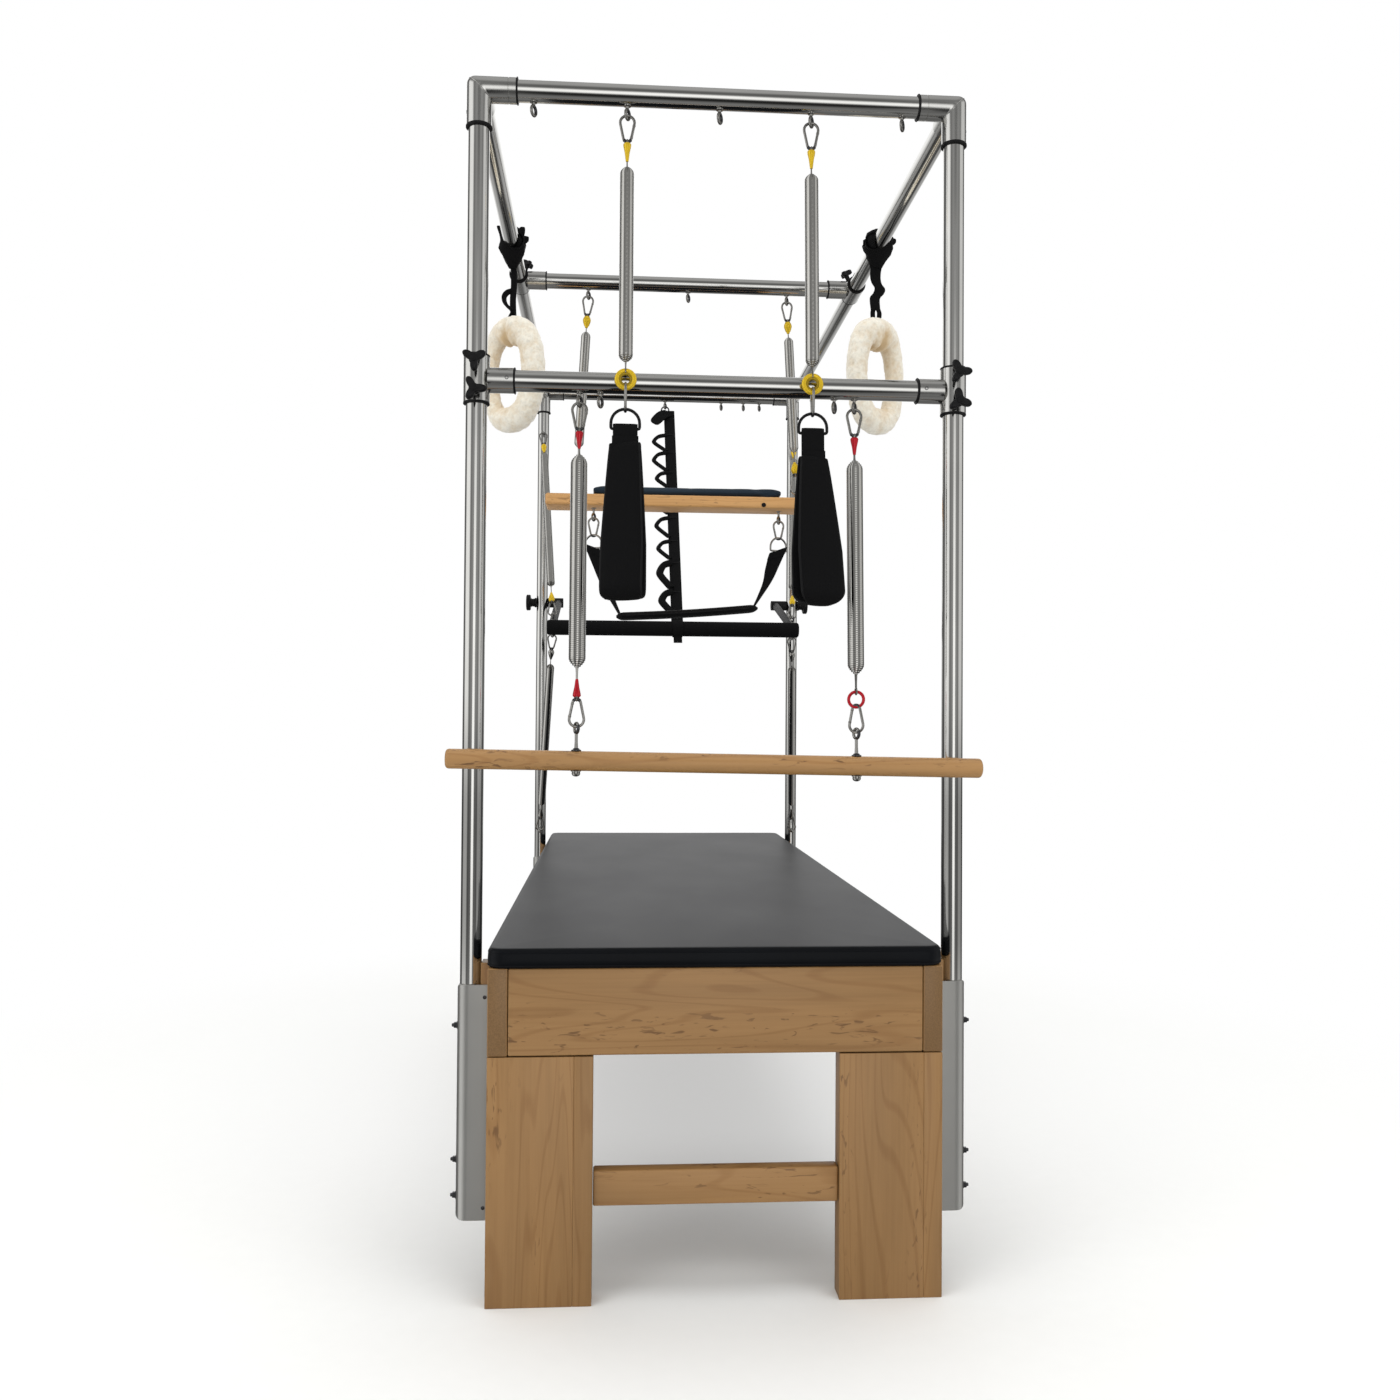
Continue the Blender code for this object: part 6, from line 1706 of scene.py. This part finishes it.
def make_fleece_loop(sign, side):
    """A thick closed fleece loop, creased at its top, on a strap knotted round the rail."""
    shape = Shape()
    shift = Matrix.Translation((sign * POST_X, FLEECE_PLACES[side], RAIL_Z))
    knot(shape, shift, side)
    hanging_strap(shape, shift, side)
    count, around = 300, 72
    centre_z = -0.307
    left = side == "left"
    turns = round_angles(count)
    up = np.cos(turns)
    off_top = np.minimum(turns, tau - turns)
    top_share = np.exp(-(off_top / 0.62) ** 2)
    low_share = np.exp(-((turns - pi) / 0.75) ** 2)
    girth = 0.0232 + (0.0125 if left else 0.0160) * top_share + 0.0070 * low_share
    girth = girth - (0.0050 if left else 0.0012) * np.sin(turns) * sign
    span_x = 0.0650 * np.sign(np.sin(turns)) * np.abs(np.sin(turns)) ** 0.84
    direction = Vector((cos(FLEECE_TURN), sign * sin(FLEECE_TURN), 0))
    path = [direction * u + Z_AXIS * (v + centre_z) for u, v in zip(span_x, (0.1385 - girth) * up)]
    points, faces = swept(path, girth, around, True)
    path = rows(path)
    outward = unit(points - np.repeat(path, around, axis=0))
    to_hole = unit(np.array((0, 0, centre_z)) - path)
    toward = (outward * np.repeat(to_hole, around, axis=0)).sum(1)
    from_top = np.repeat(off_top, around)
    # The crease at the top and its branches dent the band, and are also painted darker as shade
    crease = np.exp(-(from_top / 0.085) ** 2) * np.clip(0.75 + toward, 0, 1)
    branches = np.exp(-((from_top - 0.30 * (0.7 - toward)) / 0.09) ** 2)
    hollow = np.maximum(crease, branches * np.clip(0.3 + toward, 0, 1) * 0.7)
    # Painted shade on the side of the band that faces the hole, stronger towards the top
    shade = np.clip((toward + 0.65) / 1.65, 0, 1) ** 1.6
    shade = shade * np.repeat(0.50 + 0.36 * top_share, around)
    pile = sizes().pile
    lifts = np.array([pile * (0.30 * noise.noise(spot * 190)
                              + 0.44 * noise.noise(spot * 62 + Vector((7, 3, 1))))
                      for spot in map(Vector, points)])
    start = shape.count
    shape.put((points + outward * (lifts - 0.0100 * hollow)[:, None], faces), "Fleece", shift)
    obj = shape.build(side + "_fleece", 180)
    # Painted shade for the fleece's material: darker where the tufts sit low, in the crease and on
    # the inner side
    painted_shades = np.zeros(len(obj.data.vertices))
    inner_and_crease_shade = shade + 0.50 * hollow
    painted_shades[start:start + len(points)] = np.clip(0.10 - lifts / pile * 0.8 + inner_and_crease_shade, 0, 0.9)
    layer = obj.data.attributes.new("painted_pile_shade", "FLOAT", "POINT")
    layer.data.foreach_set("value", painted_shades)
    fit(obj, "wrist_loop_" + side, ["fleece_loop_" + side])


# Stage

def aim(obj, target):
    """Turn an object so that it looks at a target."""
    obj.rotation_euler = (Vector(target) - obj.location).to_track_quat("-Z", "Y").to_euler()


def add_lamp(name, place, target, size, power):
    """A soft rectangular lamp that lights the table without mirroring in its tubes."""
    data = bpy.data.lights.new(name, "AREA")
    data.shape = "RECTANGLE"
    data.size, data.size_y = size
    data.energy = power
    lamp = bpy.data.objects.new(name, data)
    lamp.location = place
    aim(lamp, target)
    lamp.visible_glossy = False
    bpy.context.scene.collection.objects.link(lamp)


def add_camera():
    """The camera at the photograph's place and angle."""
    focal_pixels = 1232.6
    image_pixels = 1400
    data = bpy.data.cameras.new("Camera")
    data.sensor_fit = "HORIZONTAL"
    data.sensor_width = 36
    data.lens = focal_pixels / image_pixels * data.sensor_width
    data.clip_start = 0.05
    data.clip_end = 200
    camera = bpy.data.objects.new("Camera", data)
    yaw, pitch, roll = 0.0698, 0.0176, 0.0066
    forward = Vector((sin(yaw) * cos(pitch), cos(yaw) * cos(pitch), sin(pitch)))
    right = Vector((cos(yaw), -sin(yaw), 0))
    up = right.cross(forward)
    level_right = right * cos(roll) + up * sin(roll)
    level_up = up * cos(roll) - right * sin(roll)
    matrix = Matrix((level_right, level_up, -forward)).transposed().to_4x4()
    matrix.translation = Vector((-0.1844, -3.251, 1.0055))
    camera.matrix_world = matrix
    bpy.context.scene.collection.objects.link(camera)
    bpy.context.scene.camera = camera


def make_floor():
    """A pale floor that keeps the table's shadow, lifted by a painted glow, and fades out to white.
    """
    mesh = bpy.data.meshes.new("floor")
    side, near, far = 7.0, -2.6, 9
    mesh.from_pydata([(-side, near, 0), (side, near, 0), (side, far, 0), (-side, far, 0)],
                     [], [(0, 1, 2, 3)])
    floor = bpy.data.objects.new("floor", mesh)
    bpy.context.scene.collection.objects.link(floor)
    material, tree, shader = shader_tree("Floor")
    pale = colours().floor
    tone = ramp(speckle(tree, 30, 3.0), [(0.3, shaded(pale, 0.99)), (0.7, pale)])
    tune(shader, {"Base Color": tone, "Roughness": 0.9, "Specular IOR Level": 0.1})
    distance = add(tree, "VectorMath", operation="LENGTH")
    feed(distance, 0, stretched(tree, (1 / 2.9, 1 / 3.0, 1)))
    fade = ramp(distance.outputs["Value"], [(0.42, BLACK), (0.86, WHITE)])
    fade.node.color_ramp.interpolation = "EASE"
    # Painted light: the floor glows white by up to 0.36 from the front legs to under and behind the
    # table, lightening its shadow
    split = add(tree, "SeparateXYZ", Vector=stretched(tree, 1))
    lift = span(split.outputs["Y"], (-1.05, -0.15), (0, 0.36), "SMOOTHSTEP")
    white = add(tree, "Emission", Color=WHITE, Strength=1.0)
    blend = add(tree, "MixShader")
    feed(blend, 0, mixed(1.0, fade, lift, "LIGHTEN"))
    feed(blend, 1, shader.outputs["BSDF"])
    feed(blend, 2, white.outputs["Emission"])
    feed(tree.nodes["Material Output"], "Surface", blend.outputs["Shader"])
    mesh.materials.append(material)
    floor.visible_glossy = False


def make_world():
    """White to the camera. Metal sees light panels at its sides, in front, behind and above."""
    world = bpy.data.worlds.new("Studio")
    world.use_nodes = True
    bpy.context.scene.world = world
    tree = world.node_tree
    place = add(tree, "TexCoord").outputs["Generated"]
    split = add(tree, "SeparateXYZ", Vector=place)
    nearer = maths("MULTIPLY", split.outputs["Y"], -1)
    turn = maths("ARCTAN2", split.outputs["X"], nearer)
    around = span(turn, (-pi, pi), (0, 1))
    level = span(split.outputs["Z"], (-1, 1), (0, 1))

    def greys(source, stops, reach):
        """A ramp of greys whose stops run from -reach to reach."""
        return ramp(source,
                    [((at + reach) / (2 * reach), (grey,) * 3) for at, grey in stops])

    sides = greys(around, SIDE_PANELS, 180)
    dim = greys(level, ((-0.24, 0.85), (-0.17, 0.42), (-0.06, 0.42), (0.02, 1)), 1)
    panels = mixed(1.0, sides, dim, "MULTIPLY")
    front = greys(level, FRONT_PANEL, 1)
    front_share = greys(around, ((-10, 0), (-5, 1), (14, 1), (20, 0)), 180)
    nearby = mixed(front_share, panels, front)
    rear = greys(level, REAR_PANEL, 1)
    rear_share = greys(around, ((-154, 1), (-144, 0), (144, 0), (154, 1)), 180)
    whole = mixed(rear_share, nearby, rear)
    roof_share = greys(level, ((-0.86, 1), (-0.70, 0), (0.62, 0), (0.78, 1)), 1)
    studio = mixed(roof_share, whole, front)
    ray = add(tree, "LightPath").outputs
    seen = maths("MAXIMUM", ray["Is Camera Ray"], ray["Is Transmission Ray"])
    soft = mixed(ray["Is Diffuse Ray"], studio, SOFT_LIGHT)
    tune(tree.nodes["Background"], {"Color": mixed(seen, soft, WHITE), "Strength": 1.0})


def make_stage():
    """The camera, the floor, the surroundings and four lamps."""
    add_camera()
    make_floor()
    make_world()
    add_lamp("Overhead lamp", (0, -0.6, 4.6), (0, -0.2, 0), (4.5, 4.5), 72)
    add_lamp("Left lamp", (-3.6, -4.2, 2.9), (0, -0.5, 1.0), (2.6, 2.6), 50)
    add_lamp("Right lamp", (3.4, -4.6, 2.4), (0, -0.5, 1.0), (2.6, 2.6), 40)
    add_lamp("Rear lamp", (0.5, 5.0, 3.6), (0, 0.6, 0.8), (3.0, 2.0), 25)
    bpy.context.scene.view_settings.view_transform = "Standard"


# Operators and panel

class TRAPEZETABLE_OT_camera_and_studio(bpy.types.Operator):
    """Add the camera, the floor, the lamps and the white surroundings"""

    bl_idname = "trapeze_table.camera_and_studio"
    bl_label = "Camera and studio"

    def execute(self, context):
        make_stage()
        return {"FINISHED"}


class TRAPEZETABLE_OT_wooden_frame(bpy.types.Operator):
    """Legs, stretchers, aprons and side boards in lacquered maple"""

    bl_idname = "trapeze_table.wooden_frame"
    bl_label = "Wooden frame"

    def execute(self, context):
        make_wooden_frame()
        return {"FINISHED"}


class TRAPEZETABLE_OT_mat(bpy.types.Operator):
    """The padded vinyl mat with its welts"""

    bl_idname = "trapeze_table.mat"
    bl_label = "Mat"

    def execute(self, context):
        make_mat()
        return {"FINISHED"}


class TRAPEZETABLE_OT_post_brackets(bpy.types.Operator):
    """Aluminium channels with their plates, bolts and screws"""

    bl_idname = "trapeze_table.post_brackets"
    bl_label = "Post brackets"

    def execute(self, context):
        make_post_brackets()
        return {"FINISHED"}


class TRAPEZETABLE_OT_canopy(bpy.types.Operator):
    """Posts, top tubes, crossbars and their mitred elbows"""

    bl_idname = "trapeze_table.canopy"
    bl_label = "Canopy"

    def execute(self, context):
        make_canopy()
        return {"FINISHED"}


class TRAPEZETABLE_OT_front_bar(bpy.types.Operator):
    """The bar between the front posts, its collars and star knobs"""

    bl_idname = "trapeze_table.front_bar"
    bl_label = "Sliding front bar"

    def execute(self, context):
        make_front_bar()
        return {"FINISHED"}


class TRAPEZETABLE_OT_top_bar(bpy.types.Operator):
    """The bar between the top tubes, its collars and knobs"""

    bl_idname = "trapeze_table.top_bar"
    bl_label = "Sliding top bar"

    def execute(self, context):
        make_top_bar()
        return {"FINISHED"}


class TRAPEZETABLE_OT_arm_springs(bpy.types.Operator):
    """The two light springs with their padded hand loops"""

    bl_idname = "trapeze_table.arm_springs"
    bl_label = "Arm springs"

    def execute(self, context):
        make_arm_springs()
        return {"FINISHED"}


class TRAPEZETABLE_OT_roll_down(bpy.types.Operator):
    """The wooden bar on its two heavy springs"""

    bl_idname = "trapeze_table.roll_down"
    bl_label = "Roll-down bar"

    def execute(self, context):
        make_roll_down()
        return {"FINISHED"}


class TRAPEZETABLE_OT_trapeze(bpy.types.Operator):
    """The padded board, its springs and its sling"""

    bl_idname = "trapeze_table.trapeze"
    bl_label = "Trapeze"

    def execute(self, context):
        make_trapeze()
        return {"FINISHED"}


class TRAPEZETABLE_OT_push_bar(bpy.types.Operator):
    """The foam-covered bar, its pivots and its four springs"""

    bl_idname = "trapeze_table.push_bar"
    bl_label = "Push-through bar"

    def execute(self, context):
        make_push_bar()
        return {"FINISHED"}


class TRAPEZETABLE_OT_safety_strap(bpy.types.Operator):
    """The looped webbing that holds the push-through bar"""

    bl_idname = "trapeze_table.safety_strap"
    bl_label = "Safety strap"

    def execute(self, context):
        make_safety_strap()
        return {"FINISHED"}


class TRAPEZETABLE_OT_fleece_loops(bpy.types.Operator):
    """The two fleece loops on their webbing straps"""

    bl_idname = "trapeze_table.fleece_loops"
    bl_label = "Fleece loops"

    def execute(self, context):
        make_fleece_loops()
        return {"FINISHED"}


PIECE_OPERATORS = (
    TRAPEZETABLE_OT_camera_and_studio,
    TRAPEZETABLE_OT_wooden_frame,
    TRAPEZETABLE_OT_mat,
    TRAPEZETABLE_OT_post_brackets,
    TRAPEZETABLE_OT_canopy,
    TRAPEZETABLE_OT_front_bar,
    TRAPEZETABLE_OT_top_bar,
    TRAPEZETABLE_OT_arm_springs,
    TRAPEZETABLE_OT_roll_down,
    TRAPEZETABLE_OT_trapeze,
    TRAPEZETABLE_OT_push_bar,
    TRAPEZETABLE_OT_safety_strap,
    TRAPEZETABLE_OT_fleece_loops,
)


class TRAPEZETABLE_PT_panel(bpy.types.Panel):
    """The table's pieces, in the order in which they are made."""

    bl_idname = "TRAPEZETABLE_PT_panel"
    bl_label = "Pilates trapeze table"
    bl_space_type = "VIEW_3D"
    bl_region_type = "UI"
    bl_category = "Trapeze table"

    def draw(self, context):
        layout = self.layout
        column = layout.column(align=True)
        for piece in PIECE_OPERATORS:
            column.operator(piece.bl_idname)
        for group in (context.scene.trapeze_table_sizes, context.scene.trapeze_table_colours):
            box = layout.box()
            for key in group.bl_rna.properties.keys():
                if key not in ("rna_type", "name"):
                    box.prop(group, key)


CLASSES = (TrapezeTableColours, TrapezeTableSizes, *PIECE_OPERATORS, TRAPEZETABLE_PT_panel)


def register():
    """Add the panel, its operators and the scene's settings."""
    for cls in CLASSES:
        bpy.utils.register_class(cls)
    bpy.types.Scene.trapeze_table_colours = PointerProperty(type=TrapezeTableColours)
    bpy.types.Scene.trapeze_table_sizes = PointerProperty(type=TrapezeTableSizes)


def unregister():
    """Take the panel, its operators and the scene's settings away."""
    del bpy.types.Scene.trapeze_table_sizes
    del bpy.types.Scene.trapeze_table_colours
    for cls in reversed(CLASSES):
        bpy.utils.unregister_class(cls)


def main():
    """Make every piece."""
    register()
    for piece in PIECE_OPERATORS:
        group, name = piece.bl_idname.split(".")
        getattr(getattr(bpy.ops, group), name)()
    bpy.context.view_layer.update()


if __name__ == "__main__":
    main()
